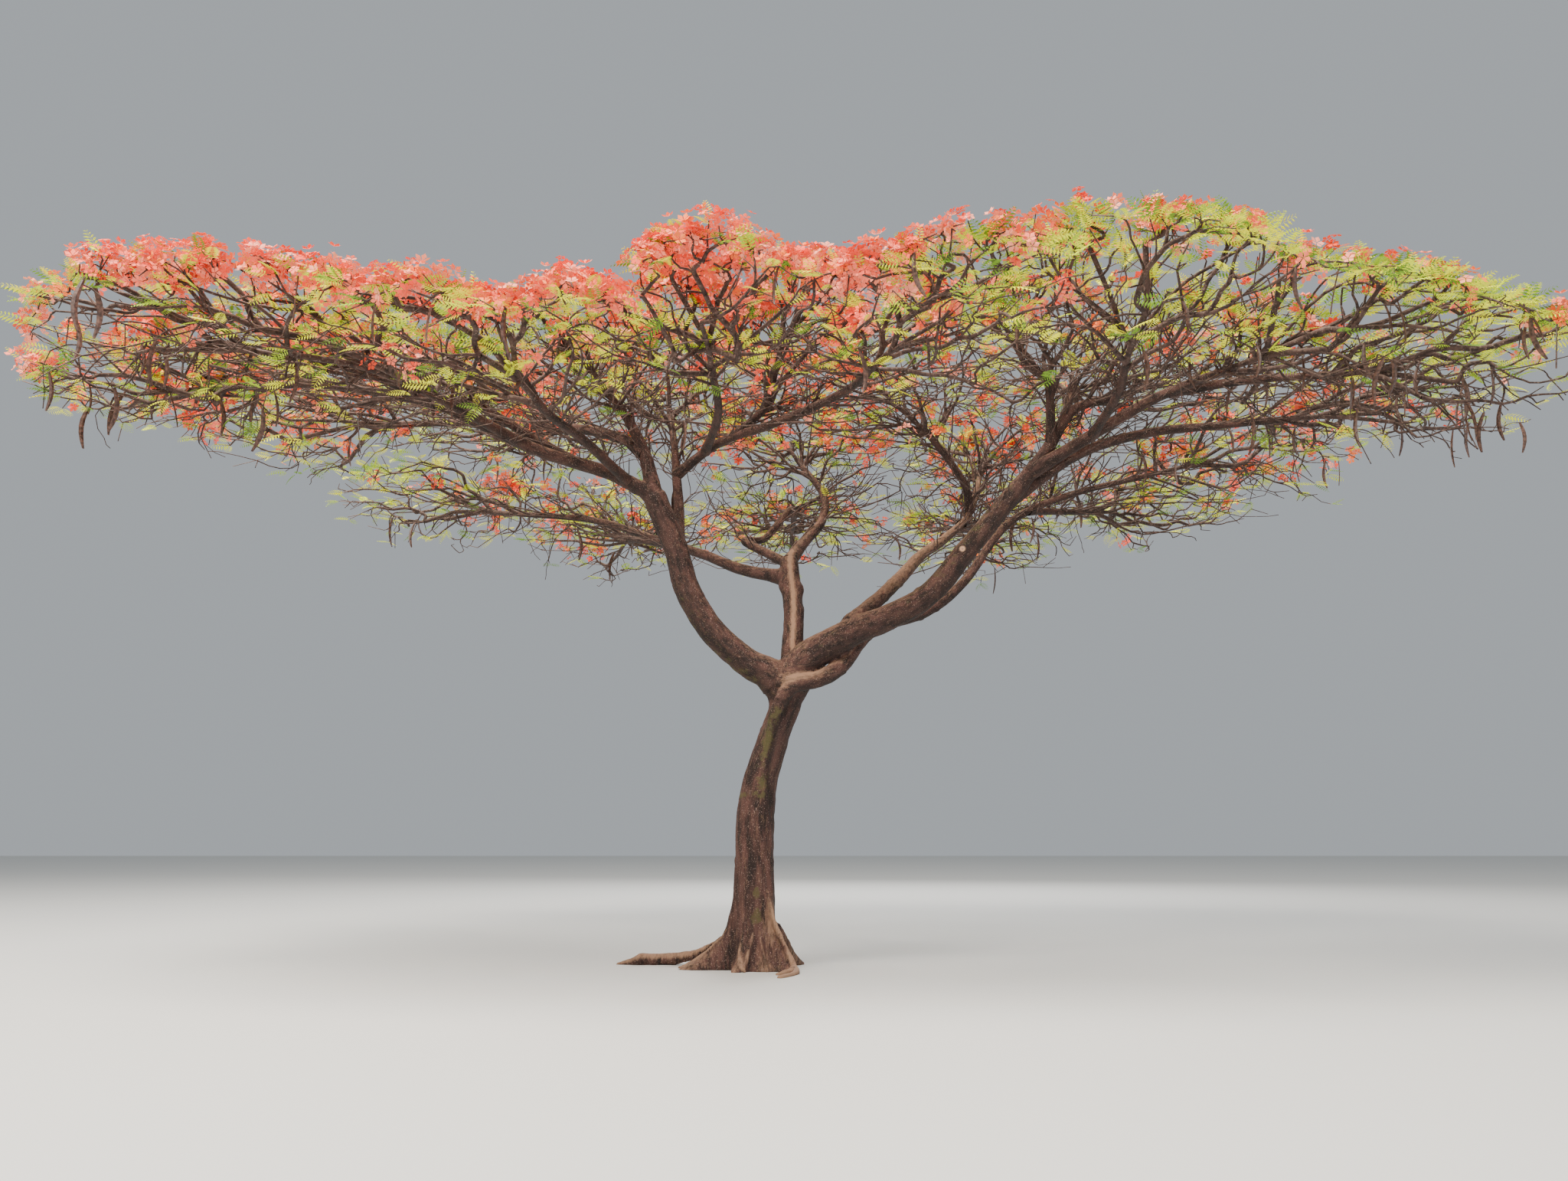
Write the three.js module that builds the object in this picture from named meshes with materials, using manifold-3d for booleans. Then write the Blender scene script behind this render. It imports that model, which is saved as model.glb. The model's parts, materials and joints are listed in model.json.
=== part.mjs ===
// Flame tree: a leaning trunk with a flared foot, three bent boughs and a back stem from one low fork,
// and a wide flat umbrella crown of twigs, feathery leaf sprays, blossom heads and hanging pods.
// Millimetres, +Z up, the origin at the middle of the flat cut at ground level.
// -Y is the side that faces the street, +X is to the right as seen from there.

import * as THREE from 'three';
import { mergeVertices } from 'three/addons/utils/BufferGeometryUtils.js';
import Module from 'manifold-3d';

const wasm = await Module();
wasm.setup();

// Driving dimensions
const GAP = 0.3; // air between two pieces that meet
const TRUNK_HEIGHT = 3560; // ground to the top of the fork's saddle
const TRUNK_RADIUS = 222; // at breast height
const FOOT_RADIUS = 300; // at the ground, between the root ridges
const TWIG_TIP_RADIUS = 9;
const TWIG_GROWTH = 0.5; // a twig's radius goes with this power of the tips that it carries
const STEM_RADIUS = 40; // where a mass's stem meets its bough's tip
const CELL_MARGIN = 12; // air between the spaces of two masses
const LIMB_AIR = 30; // least air between a twig or leaf and a limb
const SPRAY = { length: 920, width: 400, thickness: 24, sunk: 12 };
const BLOSSOM = { radius: 310, height: 230, sunk: 40 };
const POD = { length: 480, width: 52, thickness: 16, sunk: 26 };
const TIPS_PER_MASS = 11;
const RIM_STRETCH = 1.12; // how far a leaf's tip may stand out of its mass's ellipsoid

const BARK = { color: 0x5d4037, roughness: 0.9, metalness: 0 };
const CROWN = { color: 0xd0603f, roughness: 0.8, metalness: 0 };

// The trunk's line: upright to 1.7 m, then leaning to the right as far as the fork
const trunkLine = [[0, 0, 0], [-10, 0, 900], [-10, 0, 1700], [60, 0, 2200], [190, 0, 2620], [330, 0, 3000],
  [400, 0, 3300], [405, 0, TRUNK_HEIGHT]];

// Root ridges: heading in degrees from +X, how far each stands out at the ground, and how sharp it is
const rootRidges = [
  { heading: 186, reach: 620, sharpness: 26 },
  { heading: 236, reach: 250, sharpness: 18 },
  { heading: 292, reach: 130, sharpness: 14 },
  { heading: 335, reach: 330, sharpness: 22 },
  { heading: 28, reach: 240, sharpness: 12 },
  { heading: 96, reach: 300, sharpness: 14 },
  { heading: 142, reach: 220, sharpness: 14 },
];

// Limbs that carry other limbs. Each starts inside its parent and is cut clear of it.
const mainLimbs = [
  {
    name: 'left_bough', from: 'trunk', radii: [180, 142], sides: 8, steps: 8,
    line: [[300, 0, 3120], [-180, -50, 3690], [-520, -100, 3930], [-840, -200, 4420], [-980, -300, 4900],
      [-1250, -430, 5560]],
  },
  {
    name: 'right_bough', from: 'trunk', radii: [210, 118], sides: 8, steps: 8,
    line: [[380, 0, 3160], [620, 0, 3740], [900, 0, 3950], [1530, 0, 4140], [2090, -50, 4410],
      [2590, -150, 4960], [3050, -300, 5500]],
  },
  {
    name: 'back_stem', from: 'trunk', radii: [135, 112], sides: 7, steps: 4,
    line: [[420, 90, 3300], [450, 400, 4200], [420, 620, 4700], [390, 760, 5000]],
  },
];

// Masses of the crown. heart is the middle of each, spread its half width, depth its half height, and
// blossom the share of its tips that flower. Its bough leaves another limb at a station between 0 and 1.
const masses = [
  {
    name: 'left_tip', heart: [-5950, -3050, 6480], spread: 1450, depth: 560, blossom: 0.7, pods: 2,
    from: 'left_bough', at: 1, radius: 92, via: [[-1790, -600, 5790], [-2590, -1000, 5950], [-3580, -1400, 6330],
      [-4360, -1900, 6560]],
  },
  {
    name: 'left_low_tip', heart: [-6720, -1750, 6380], spread: 1350, depth: 460, blossom: 0.55, pods: 2,
    from: 'left_tip_bough', at: 0.62, radius: 56, via: [[-4900, -1500, 6560]],
  },
  {
    name: 'left_front', heart: [-4450, -3450, 6270], spread: 1500, depth: 600, blossom: 0.7, pods: 1,
    from: 'left_tip_bough', at: 0.42, radius: 60, via: [[-3450, -2100, 6180]],
  },
  {
    name: 'front_left', heart: [-2500, -3950, 6040], spread: 1600, depth: 560, blossom: 0.65, pods: 1,
    from: 'left_tip_bough', at: 0.12, radius: 62, via: [[-1950, -1500, 5900], [-2150, -2300, 5880]],
  },
  {
    name: 'left_middle', heart: [-4500, -750, 6850], spread: 1600, depth: 600, tips: 10, blossom: 0.5,
    from: 'left_tip_bough', at: 0.3, radius: 58, via: [[-3250, -950, 6480]],
  },
  {
    name: 'top_left', heart: [-2150, -1500, 7120], spread: 1600, depth: 640, tips: 10, blossom: 0.55,
    from: 'left_bough', at: 1, radius: 98, via: [[-1370, -430, 6050], [-1560, -480, 6460]],
  },
  {
    name: 'left_back', heart: [-6300, 900, 6900], spread: 1650, depth: 600, blossom: 0.45,
    from: 'top_left_bough', at: 0.35, radius: 72, via: [[-1800, -150, 6420], [-2800, 300, 6720], [-4000, 600, 6860]],
  },
  {
    name: 'left_inner_back', heart: [-3650, 2050, 7150], spread: 1650, depth: 620, tips: 10, blossom: 0.45,
    from: 'left_back_bough', at: 0.22, radius: 56, via: [[-2450, 700, 6800]],
  },
  {
    name: 'crest_left', heart: [-1300, 1150, 7600], spread: 1600, depth: 640, tips: 10, blossom: 0.5,
    from: 'left_bough', at: 0.74, radius: 72, via: [[-990, 30, 5550], [-1040, 150, 6000], [-1080, 260, 6400]],
  },
  {
    name: 'front_right', heart: [1650, -4050, 6180], spread: 1550, depth: 600, blossom: 0.7,
    from: 'crest_left_bough', at: 0.5, radius: 60, via: [[-480, -300, 6270], [250, -1000, 6290],
      [1000, -1900, 6320]],
  },
  {
    name: 'front_centre', heart: [-450, -3850, 6420], spread: 1500, depth: 640, blossom: 0.8,
    from: 'front_right_bough', at: 0.18, radius: 54, via: [[-420, -1500, 6220]],
  },
  {
    name: 'top_centre', heart: [350, -1600, 7250], spread: 1600, depth: 640, tips: 10, blossom: 0.65,
    from: 'front_right_bough', at: 0.32, radius: 50, via: [[150, -900, 6560]],
  },
  {
    name: 'back_left', heart: [-5050, 4000, 6650], spread: 1700, depth: 600, blossom: 0.5, pods: 1,
    from: 'back_stem', at: 0.72, radius: 84, via: [[-230, 1000, 4960], [-770, 1500, 5280], [-1550, 2200, 5690],
      [-2560, 3000, 6180]],
  },
  {
    name: 'back_left_low', heart: [-2500, 5350, 6400], spread: 1700, depth: 600, blossom: 0.5,
    from: 'back_left_bough', at: 0.5, radius: 58, via: [[-1950, 3500, 6000]],
  },
  {
    name: 'back_centre', heart: [450, 5950, 6600], spread: 1700, depth: 600, blossom: 0.45,
    from: 'back_stem', at: 0.97, radius: 64, via: [[100, 1200, 5230], [-210, 1600, 5500], [60, 2000, 5640],
      [420, 2600, 6230], [480, 3900, 6400]],
  },
  {
    name: 'inner_back', heart: [350, 3200, 7460], spread: 1700, depth: 620, tips: 10, blossom: 0.45,
    from: 'back_stem', at: 1, radius: 86, via: [[620, 1300, 5430], [850, 1700, 5800], [900, 2100, 6300]],
  },
  {
    name: 'inner_back_right', heart: [3450, 2900, 7380], spread: 1700, depth: 620, tips: 10, blossom: 0.4,
    from: 'right_bough', at: 0.4, radius: 100, via: [[1810, 800, 4760], [2170, 1300, 5210], [2600, 1750, 5590],
      [3000, 2100, 6050]],
  },
  {
    name: 'crest_right', heart: [1550, 850, 7500], spread: 1650, depth: 640, tips: 10, blossom: 0.5,
    from: 'inner_back_right_bough', at: 0.8, radius: 56, via: [[2850, 1750, 6420], [2350, 1350, 6950]],
  },
  {
    name: 'back_right_low', heart: [3700, 5450, 6400], spread: 1700, depth: 600, blossom: 0.45, pods: 1,
    from: 'inner_back_right_bough', at: 0.72, radius: 58, via: [[3100, 3100, 6150]],
  },
  {
    name: 'right_middle', heart: [5350, -900, 6980], spread: 1650, depth: 620, tips: 10, blossom: 0.35, pods: 1,
    from: 'right_bough', at: 1, radius: 104, via: [[3490, -500, 6040], [3820, -700, 6540]],
  },
  {
    name: 'crest_far_right', heart: [4300, 950, 7480], spread: 1600, depth: 620, tips: 10, blossom: 0.4,
    from: 'right_middle_bough', at: 0.6, radius: 58, via: [[3950, -150, 7000]],
  },
  {
    name: 'top_right', heart: [2850, -1500, 7350], spread: 1600, depth: 640, tips: 10, blossom: 0.5,
    from: 'right_middle_bough', at: 0.42, radius: 58, via: [[3480, -1000, 6750]],
  },
  {
    name: 'right_front', heart: [5650, -3450, 6330], spread: 1450, depth: 600, blossom: 0.35, pods: 2,
    from: 'right_middle_bough', at: 0.22, radius: 80, via: [[4000, -900, 6170], [4500, -1400, 6380],
      [4850, -1900, 6420]],
  },
  {
    name: 'front_far_right', heart: [3780, -3750, 6560], spread: 1550, depth: 620, tips: 10, blossom: 0.45, pods: 1,
    from: 'right_front_bough', at: 0.25, radius: 56, via: [[4020, -1900, 6280]],
  },
  {
    name: 'right_tip', heart: [7250, -2750, 6250], spread: 1500, depth: 540, blossom: 0.35, pods: 4,
    from: 'right_front_bough', at: 0.62, radius: 56, via: [[5550, -1850, 6480]],
  },
  {
    name: 'right_low_tip', heart: [7600, -900, 6480], spread: 1500, depth: 520, blossom: 0.4, pods: 3,
    from: 'right_bough', at: 0.97, radius: 76, via: [[3870, -350, 6060], [4700, -450, 6330], [5600, -700, 6360]],
  },
  {
    name: 'back_right', heart: [6800, 1950, 6880], spread: 1750, depth: 600, blossom: 0.45, pods: 2,
    from: 'trunk', at: 0.86, radius: 112, sides: 8, steps: 11, via: [[430, -190, 3290], [720, -90, 3420],
      [950, 180, 3530], [1450, 500, 3940], [2200, 900, 4380], [2750, 1250, 4850], [3480, 1800, 5800],
      [4360, 1950, 6250]],
  },
];
masses.push({
  name: 'back_right_corner', heart: [6050, 4350, 6680], spread: 1700, depth: 600, blossom: 0.45,
  from: 'back_right_bough', at: 0.82, radius: 54, via: [[4700, 2900, 6280]],
});

// A repeatable run of numbers from 0 to 1
function seededRun(seed) {
  let state = seed * 7919 + 17;
  return () => {
    state = (state * 48271) % 2147483647;
    return state / 2147483647;
  };
}

const vector = (point) => new THREE.Vector3(...point);

// A closed three.js geometry as a solid that can be joined and cut
function solidFrom(geometry) {
  const bare = geometry.clone();
  bare.deleteAttribute('normal');
  bare.deleteAttribute('uv');
  const merged = mergeVertices(bare, 1e-3);
  const index = merged.index.array;
  const corners = [];
  for (let i = 0; i < index.length; i += 3) {
    const [a, b, c] = [index[i], index[i + 1], index[i + 2]];
    if (a !== b && b !== c && c !== a) corners.push(a, b, c);
  }
  return new wasm.Manifold(new wasm.Mesh({
    numProp: 3,
    vertProperties: new Float32Array(merged.getAttribute('position').array),
    triVerts: new Uint32Array(corners),
  }));
}

function geometryFrom(solid) {
  const mesh = solid.getMesh();
  const geometry = new THREE.BufferGeometry();
  geometry.setAttribute('position', new THREE.BufferAttribute(mesh.vertProperties, 3));
  geometry.setIndex(new THREE.BufferAttribute(mesh.triVerts, 1));
  geometry.computeVertexNormals();
  return geometry;
}

function boxesMeet(solidA, solidB) {
  const [a, b] = [solidA.boundingBox(), solidB.boundingBox()];
  return [0, 1, 2].every((i) => a.min[i] < b.max[i] && b.min[i] < a.max[i]);
}

// The biggest body of a solid, with the scraps that a cut leaves dropped
function biggestBody(solid) {
  return solid.decompose().reduce((best, body) => (body.volume() > best.volume() ? body : best));
}

// A smooth line through a few points
function lineThrough(points) {
  return new THREE.CatmullRomCurve3(points, false, 'catmullrom', 0.5);
}

function headingAt(line, t) {
  const step = 0.002;
  const before = line.getPoint(Math.max(0, t - step));
  return line.getPoint(Math.min(1, t + step)).sub(before).normalize();
}

// A round limb along a line: a cylinder whose rings are carried to stations on the line, each turned from
// the one before by as little as possible. A skin makes it fatter and longer by that much all round.
function limbGeometry(line, radii, sides, steps, skin = 0) {
  const geometry = new THREE.CylinderGeometry(1, 1, 1, sides, steps);
  const position = geometry.getAttribute('position');
  const rings = [];
  let side = new THREE.Vector3(1, 0, 0);
  for (let k = 0; k <= steps; k++) {
    const heading = headingAt(line, k / steps);
    side = side.clone().addScaledVector(heading, -side.dot(heading)).normalize();
    const end = k === 0 ? -skin : Math.max(0, k - steps + 1) * skin;
    const at = line.getPoint(k / steps).addScaledVector(heading, end);
    rings.push({ at, side, across: side.clone().cross(heading) });
  }
  for (let i = 0; i < position.count; i++) {
    const k = Math.round((position.getY(i) + 0.5) * steps);
    const { at, side: sideways, across } = rings[k];
    const angle = Math.atan2(position.getZ(i), position.getX(i));
    const share = Math.hypot(position.getX(i), position.getZ(i));
    const radius = share * (THREE.MathUtils.lerp(radii[0], radii[1], k / steps) + skin);
    const point = at.clone()
      .addScaledVector(sideways, radius * Math.cos(angle))
      .addScaledVector(across, radius * Math.sin(angle));
    position.setXYZ(i, point.x, point.y, point.z);
  }
  return geometry;
}

// The trunk: a flared foot with root ridges, a slight swell above it, and a domed top inside the fork
function trunkRadius(height, angle) {
  const flare = (FOOT_RADIUS - TRUNK_RADIUS) * Math.exp(-height / 300);
  const taper = THREE.MathUtils.lerp(TRUNK_RADIUS, 190, THREE.MathUtils.smoothstep(height, 1500, 2900));
  let ridges = 0;
  for (const { heading, reach, sharpness } of rootRidges) {
    const away = Math.cos(angle - THREE.MathUtils.degToRad(heading));
    ridges += reach * Math.exp(-height / (90 + 0.12 * reach)) * Math.exp(sharpness * (away - 1));
  }
  const dome = THREE.MathUtils.smoothstep(height, 3250, TRUNK_HEIGHT + 120);
  return (taper + flare + ridges) * (1 - 0.8 * dome);
}

const TRUNK_RINGS = [0, 60, 150, 290, 520, 1000, 1700, 2150, 2600, 3000, 3350, TRUNK_HEIGHT];
const TRUNK_SIDES = 20;

function trunkSolid(extra) {
  const line = lineThrough(trunkLine.map(vector));
  const centreAt = (height) => {
    let [low, high] = [0, 1];
    for (let i = 0; i < 30; i++) {
      const middle = (low + high) / 2;
      if (line.getPoint(middle).z < height) low = middle;
      else high = middle;
    }
    return line.getPoint(low);
  };
  const geometry = new THREE.CylinderGeometry(1, 1, 1, TRUNK_SIDES, TRUNK_RINGS.length - 1);
  geometry.rotateX(Math.PI / 2);
  const position = geometry.getAttribute('position');
  for (let i = 0; i < position.count; i++) {
    const height = TRUNK_RINGS[Math.round((position.getZ(i) + 0.5) * (TRUNK_RINGS.length - 1))];
    const centre = centreAt(height);
    const angle = Math.atan2(position.getY(i), position.getX(i));
    const share = Math.hypot(position.getX(i), position.getY(i));
    const radius = share * (trunkRadius(height, angle) + extra);
    const lift = height === TRUNK_HEIGHT ? extra : 0;
    position.setXYZ(i, centre.x + radius * Math.cos(angle), centre.y + radius * Math.sin(angle), height + lift);
  }
  return solidFrom(geometry);
}

// Limbs: their lines, their solids, and the same solids with a skin of air for cutting what meets them
const limbs = new Map();

function addLimb({ name, from, line: points, radii, sides, steps }) {
  const line = lineThrough(points.map(vector));
  let solid = solidFrom(limbGeometry(line, radii, sides, steps));
  const fat = solidFrom(limbGeometry(line, radii, sides, steps, GAP));
  for (const other of limbs.values()) {
    if (boxesMeet(solid, other.fat)) solid = solid.subtract(other.fat);
  }
  limbs.set(name, { name, from, line, radii, solid: biggestBody(solid), fat });
}

const trunkCurve = lineThrough(trunkLine.map(vector));
limbs.set('trunk', {
  name: 'trunk', line: trunkCurve, radii: [TRUNK_RADIUS, 190], solid: trunkSolid(0), fat: trunkSolid(GAP),
});
mainLimbs.forEach(addLimb);

// Where a bough enters its mass: on the near side of the mass, seen from the bough's last point
const INLET_SHARE = 0.82;
function inletOf(mass, last) {
  const heart = vector(mass.heart);
  const towards = last.clone().sub(heart);
  const size = Math.hypot(towards.x / mass.spread, towards.y / mass.spread, towards.z / mass.depth);
  return heart.addScaledVector(towards, Math.min(1, INLET_SHARE / size));
}

for (const mass of masses) {
  const parent = limbs.get(mass.from);
  const start = parent.line.getPoint(mass.at);
  const via = mass.via.map(vector);
  mass.bough = mass.name + '_bough';
  mass.inlet = inletOf(mass, via[via.length - 1]);
  const points = [start, ...via, mass.inlet];
  addLimb({
    name: mass.bough, from: mass.from, line: points.map((p) => p.toArray()), radii: [mass.radius, STEM_RADIUS],
    sides: mass.sides ?? 6, steps: mass.steps ?? Math.min(6, points.length + 1),
  });
}

// Stations along every limb, so that twigs and leaves can be kept off it
const limbStations = [];
for (const limb of limbs.values()) {
  for (let k = 0; k <= 40; k++) {
    const radius = THREE.MathUtils.lerp(limb.radii[0], limb.radii[1], k / 40);
    limbStations.push({ limb: limb.name, share: k / 40, at: limb.line.getPoint(k / 40), radius });
  }
}

function distanceToSegment(point, from, to) {
  const along = to.clone().sub(from);
  const share = THREE.MathUtils.clamp(point.clone().sub(from).dot(along) / along.lengthSq(), 0, 1);
  return point.distanceTo(from.clone().addScaledVector(along, share));
}

// True if a rod of this radius stays off every limb, its own bough's tip apart
function clearOfLimbs(from, to, radius, ownBough) {
  return limbStations.every(({ limb, share, at, radius: limbRadius }) => {
    if (limb === ownBough && share > 0.9) return true;
    return distanceToSegment(at, from, to) > limbRadius + radius + LIMB_AIR;
  });
}

// A mass keeps to the points that are nearer its own heart than any other's, and inside its own ellipsoid
function inSpace(mass, point, stretch = 1) {
  const heart = vector(mass.heart);
  const away = point.clone().sub(heart);
  const size = Math.hypot(away.x / mass.spread, away.y / mass.spread, away.z / mass.depth);
  if (size > stretch) return false;
  return masses.every((other) => {
    if (other === mass) return true;
    const between = vector(other.heart).sub(heart);
    return away.dot(between) / between.length() < between.length() / 2 - CELL_MARGIN;
  });
}

// A leaf spray beside a twig: a thin blade of eight faces, its root sunk in the twig
function sprayGeometry({ root, heading }) {
  const blade = new THREE.OctahedronGeometry(1, 0);
  blade.scale(SPRAY.length / 2, SPRAY.width / 2, SPRAY.thickness / 2);
  blade.translate(SPRAY.length / 2 - SPRAY.sunk, 0, 0);
  const side = new THREE.Vector3(0, 0, 1).cross(heading).normalize();
  blade.applyMatrix4(new THREE.Matrix4().makeBasis(heading, side, heading.clone().cross(side)));
  blade.translate(...root.toArray());
  return blade;
}

// A blossom head: a five-sided umbel, its point sunk round the twig's tip and its top domed
function blossomGeometry({ root, size }) {
  const { radius, height, sunk } = BLOSSOM;
  const rim = new THREE.Vector2(radius * size, 0.6 * height);
  const head = new THREE.LatheGeometry([new THREE.Vector2(0, 0), rim, new THREE.Vector2(0, height)], 5);
  head.rotateX(Math.PI / 2);
  head.rotateZ(root.x + root.y);
  head.translate(root.x, root.y, root.z - sunk);
  return head;
}

// A pod: a flat blade that hangs from a twig
function podGeometry({ root, turn }) {
  const blade = new THREE.OctahedronGeometry(1, 0);
  blade.scale(POD.width / 2, POD.thickness / 2, POD.length / 2);
  blade.translate(0, 0, POD.sunk - POD.length / 2);
  blade.rotateX(0.12);
  blade.rotateZ(turn);
  blade.translate(...root.toArray());
  return blade;
}

// What a mass carries: each thing has a root on a twig, an end and a half width. It keeps to the mass's
// space, and stays clear of the limbs and of what is there already.
function isFree(mass, thing, geometry, things) {
  const position = geometry.getAttribute('position');
  const corner = new THREE.Vector3();
  for (let i = 0; i < position.count; i++) {
    if (!inSpace(mass, corner.fromBufferAttribute(position, i), RIM_STRETCH)) return false;
  }
  const apart = things.every((other) => {
    const air = 0.8 * (thing.halfWidth + other.halfWidth);
    return [0, 0.5, 1].every((share) => (
      distanceToSegment(thing.root.clone().lerp(thing.end, share), other.root, other.end) > air));
  });
  return apart && clearOfLimbs(thing.root, thing.end, thing.halfWidth * 0.5, mass.bough);
}

// Turns tried in order for a leaf spray that would not fit
const SPRAY_TURNS = [0, 0.6, -0.6, 1.2, -1.2];

// Places for the blossom heads and leaf sprays of a mass, taken at random as long as they fit
function dressSpace(mass, random) {
  const heart = vector(mass.heart);
  const things = [];
  for (let tries = 0; things.length < (mass.tips ?? TIPS_PER_MASS) && tries < 500; tries++) {
    const turn = 2 * Math.PI * random();
    const out = 0.92 * Math.sqrt(random());
    const lift = (0.15 + 0.7 * random()) * Math.sqrt(1 - out * out);
    const flowers = random() < mass.blossom;
    const sway = random() - 0.5;
    const reach = new THREE.Vector3(mass.spread * out * Math.cos(turn), mass.spread * out * Math.sin(turn), 0);
    const root = heart.clone().add(reach).setZ(heart.z + mass.depth * lift);
    if (flowers) {
      const thing = { kind: 'blossom', root, end: root.clone().setZ(root.z + 90), size: 1 + 0.3 * sway };
      thing.halfWidth = 0.75 * BLOSSOM.radius * thing.size;
      thing.geometry = blossomGeometry(thing);
      if (isFree(mass, thing, thing.geometry, things)) things.push(thing);
      continue;
    }
    root.addScaledVector(reach, -0.3);
    for (const veer of SPRAY_TURNS) {
      const heading = reach.clone().applyAxisAngle(new THREE.Vector3(0, 0, 1), sway + veer);
      heading.normalize().setZ(0.08).normalize();
      const thing = { kind: 'spray', root, heading, end: root.clone().addScaledVector(heading, SPRAY.length) };
      thing.halfWidth = 0.3 * SPRAY.width;
      thing.geometry = sprayGeometry(thing);
      if (isFree(mass, thing, thing.geometry, things)) {
        things.push(thing);
        break;
      }
    }
  }
  return things;
}

// The twigs of one mass: a stem through its lower half, then its things nearest first, each joined to the
// twig that reaches it by the shortest and straightest way from the bough
const STRAIGHTNESS = 0.6; // how much a twig minds a bend
const SHORTNESS = 0.55; // how much a twig minds a long way back to the bough
function growTwigs(mass, seed) {
  const things = dressSpace(mass, seededRun(seed));
  const heart = vector(mass.heart);
  const arrival = headingAt(limbs.get(mass.bough).line, 1);
  const root = mass.inlet.clone().addScaledVector(arrival, GAP);
  const nodes = [{ at: root, parent: -1, way: 0, heading: arrival, tips: 0 }];
  const add = (at, parent, thing) => {
    const step = at.clone().sub(nodes[parent].at);
    nodes.push({ at, parent, thing, way: nodes[parent].way + step.length(), heading: step.normalize(), tips: 0 });
    return nodes.length - 1;
  };
  const neck = add(root.clone().addScaledVector(arrival, 0.22 * mass.spread), 0);
  add(heart.clone().add(new THREE.Vector3(0, 0, -0.3 * mass.depth)), neck);

  things.sort((a, b) => a.root.distanceTo(root) - b.root.distanceTo(root));
  for (const thing of things) {
    const offers = nodes.slice(1).map((node, i) => {
      const step = thing.root.clone().sub(node.at);
      const length = step.length();
      const bend = 1 - step.dot(node.heading) / length;
      return { parent: i + 1, cost: length * (1 + STRAIGHTNESS * bend) + SHORTNESS * node.way };
    });
    offers.sort((a, b) => a.cost - b.cost);
    const offer = offers.slice(0, 4).find(({ parent }) => (
      clearOfLimbs(nodes[parent].at, thing.root, 2 * TWIG_TIP_RADIUS, mass.bough)));
    if (offer) add(thing.root, offer.parent, thing);
  }
  for (let i = nodes.length - 1; i > 0; i--) {
    nodes[i].tips += nodes[i].thing ? 1 : 0;
    nodes[nodes[i].parent].tips += nodes[i].tips;
  }
  return nodes;
}

function twigRadius(node) {
  return Math.min(STEM_RADIUS - 4, TWIG_TIP_RADIUS * Math.max(1, node.tips) ** TWIG_GROWTH);
}

// The twigs as runs: each node passes its run on to the child that carries the most tips, and every other
// child starts a run of its own, so that few pieces have to be joined
function twigRuns(nodes) {
  const heir = nodes.map(() => -1);
  for (let i = 1; i < nodes.length; i++) {
    const { parent } = nodes[i];
    if (heir[parent] < 0 || nodes[i].tips > nodes[heir[parent]].tips) heir[parent] = i;
  }
  const runs = [];
  for (let i = 1; i < nodes.length; i++) {
    if (heir[nodes[i].parent] === i && nodes[i].parent !== 0) continue;
    const run = [nodes[i].parent, i];
    while (heir[run[run.length - 1]] >= 0) run.push(heir[run[run.length - 1]]);
    runs.push(run);
  }
  return runs;
}

// One run: a three-sided rod that bends at every node on it. Its last ring can widen into a leaf spray.
function runGeometry(nodes, run, blade) {
  const rings = run.map((node, k) => {
    const heading = nodes[run[Math.max(1, k)]].heading.clone();
    if (k > 0 && k < run.length - 1) heading.add(nodes[run[k + 1]].heading).normalize();
    const radius = twigRadius(nodes[run[Math.max(1, k)]]);
    return { at: nodes[node].at, heading, width: radius, height: radius };
  });
  if (blade) {
    const { heading, root } = blade;
    rings.push({
      at: root.clone().addScaledVector(heading, 0.48 * SPRAY.length),
      heading, width: SPRAY.width / 1.73, height: SPRAY.thickness,
    });
    rings.push({ at: root.clone().addScaledVector(heading, SPRAY.length), heading, width: 0, height: 0 });
  }
  const steps = rings.length - 1;
  const geometry = new THREE.CylinderGeometry(1, 1, 1, 3, steps);
  const position = geometry.getAttribute('position');
  for (const ring of rings) {
    ring.side = new THREE.Vector3(0, 0, 1).cross(ring.heading).normalize();
    ring.across = ring.side.clone().cross(ring.heading);
  }
  for (let i = 0; i < position.count; i++) {
    const ring = rings[Math.round((position.getY(i) + 0.5) * steps)];
    const point = ring.at.clone()
      .addScaledVector(ring.side, ring.width * position.getX(i))
      .addScaledVector(ring.across, ring.height * position.getZ(i));
    position.setXYZ(i, point.x, point.y, point.z);
  }
  return geometry;
}

function foliageSolid(mass, seed) {
  const nodes = growTwigs(mass, seed);
  const pieces = [];
  for (const run of twigRuns(nodes)) {
    const last = nodes[run[run.length - 1]];
    const { thing } = last;
    const goesOn = thing?.kind === 'spray' && thing.heading.dot(last.heading) > 0.35;
    pieces.push(runGeometry(nodes, run, goesOn ? thing : null));
    if (goesOn) last.thing = null;
  }
  for (const { thing } of nodes) {
    if (thing) pieces.push(thing.geometry);
  }
  let pods = mass.pods ?? 0;
  for (let i = nodes.length - 1; i > 3 && pods > 0; i--) {
    const root = nodes[i].at.clone().lerp(nodes[nodes[i].parent].at, 0.4);
    const pod = { root, end: root.clone().setZ(root.z - POD.length), halfWidth: POD.width, turn: seed + i };
    const geometry = podGeometry(pod);
    if (isFree(mass, pod, geometry, [])) {
      pieces.push(geometry);
      pods -= 1;
    }
  }
  let solid = pieces.map(solidFrom).reduce((whole, piece) => whole.add(piece));
  for (const limb of limbs.values()) {
    if (boxesMeet(solid, limb.fat)) solid = solid.subtract(limb.fat);
  }
  return biggestBody(solid);
}

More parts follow.
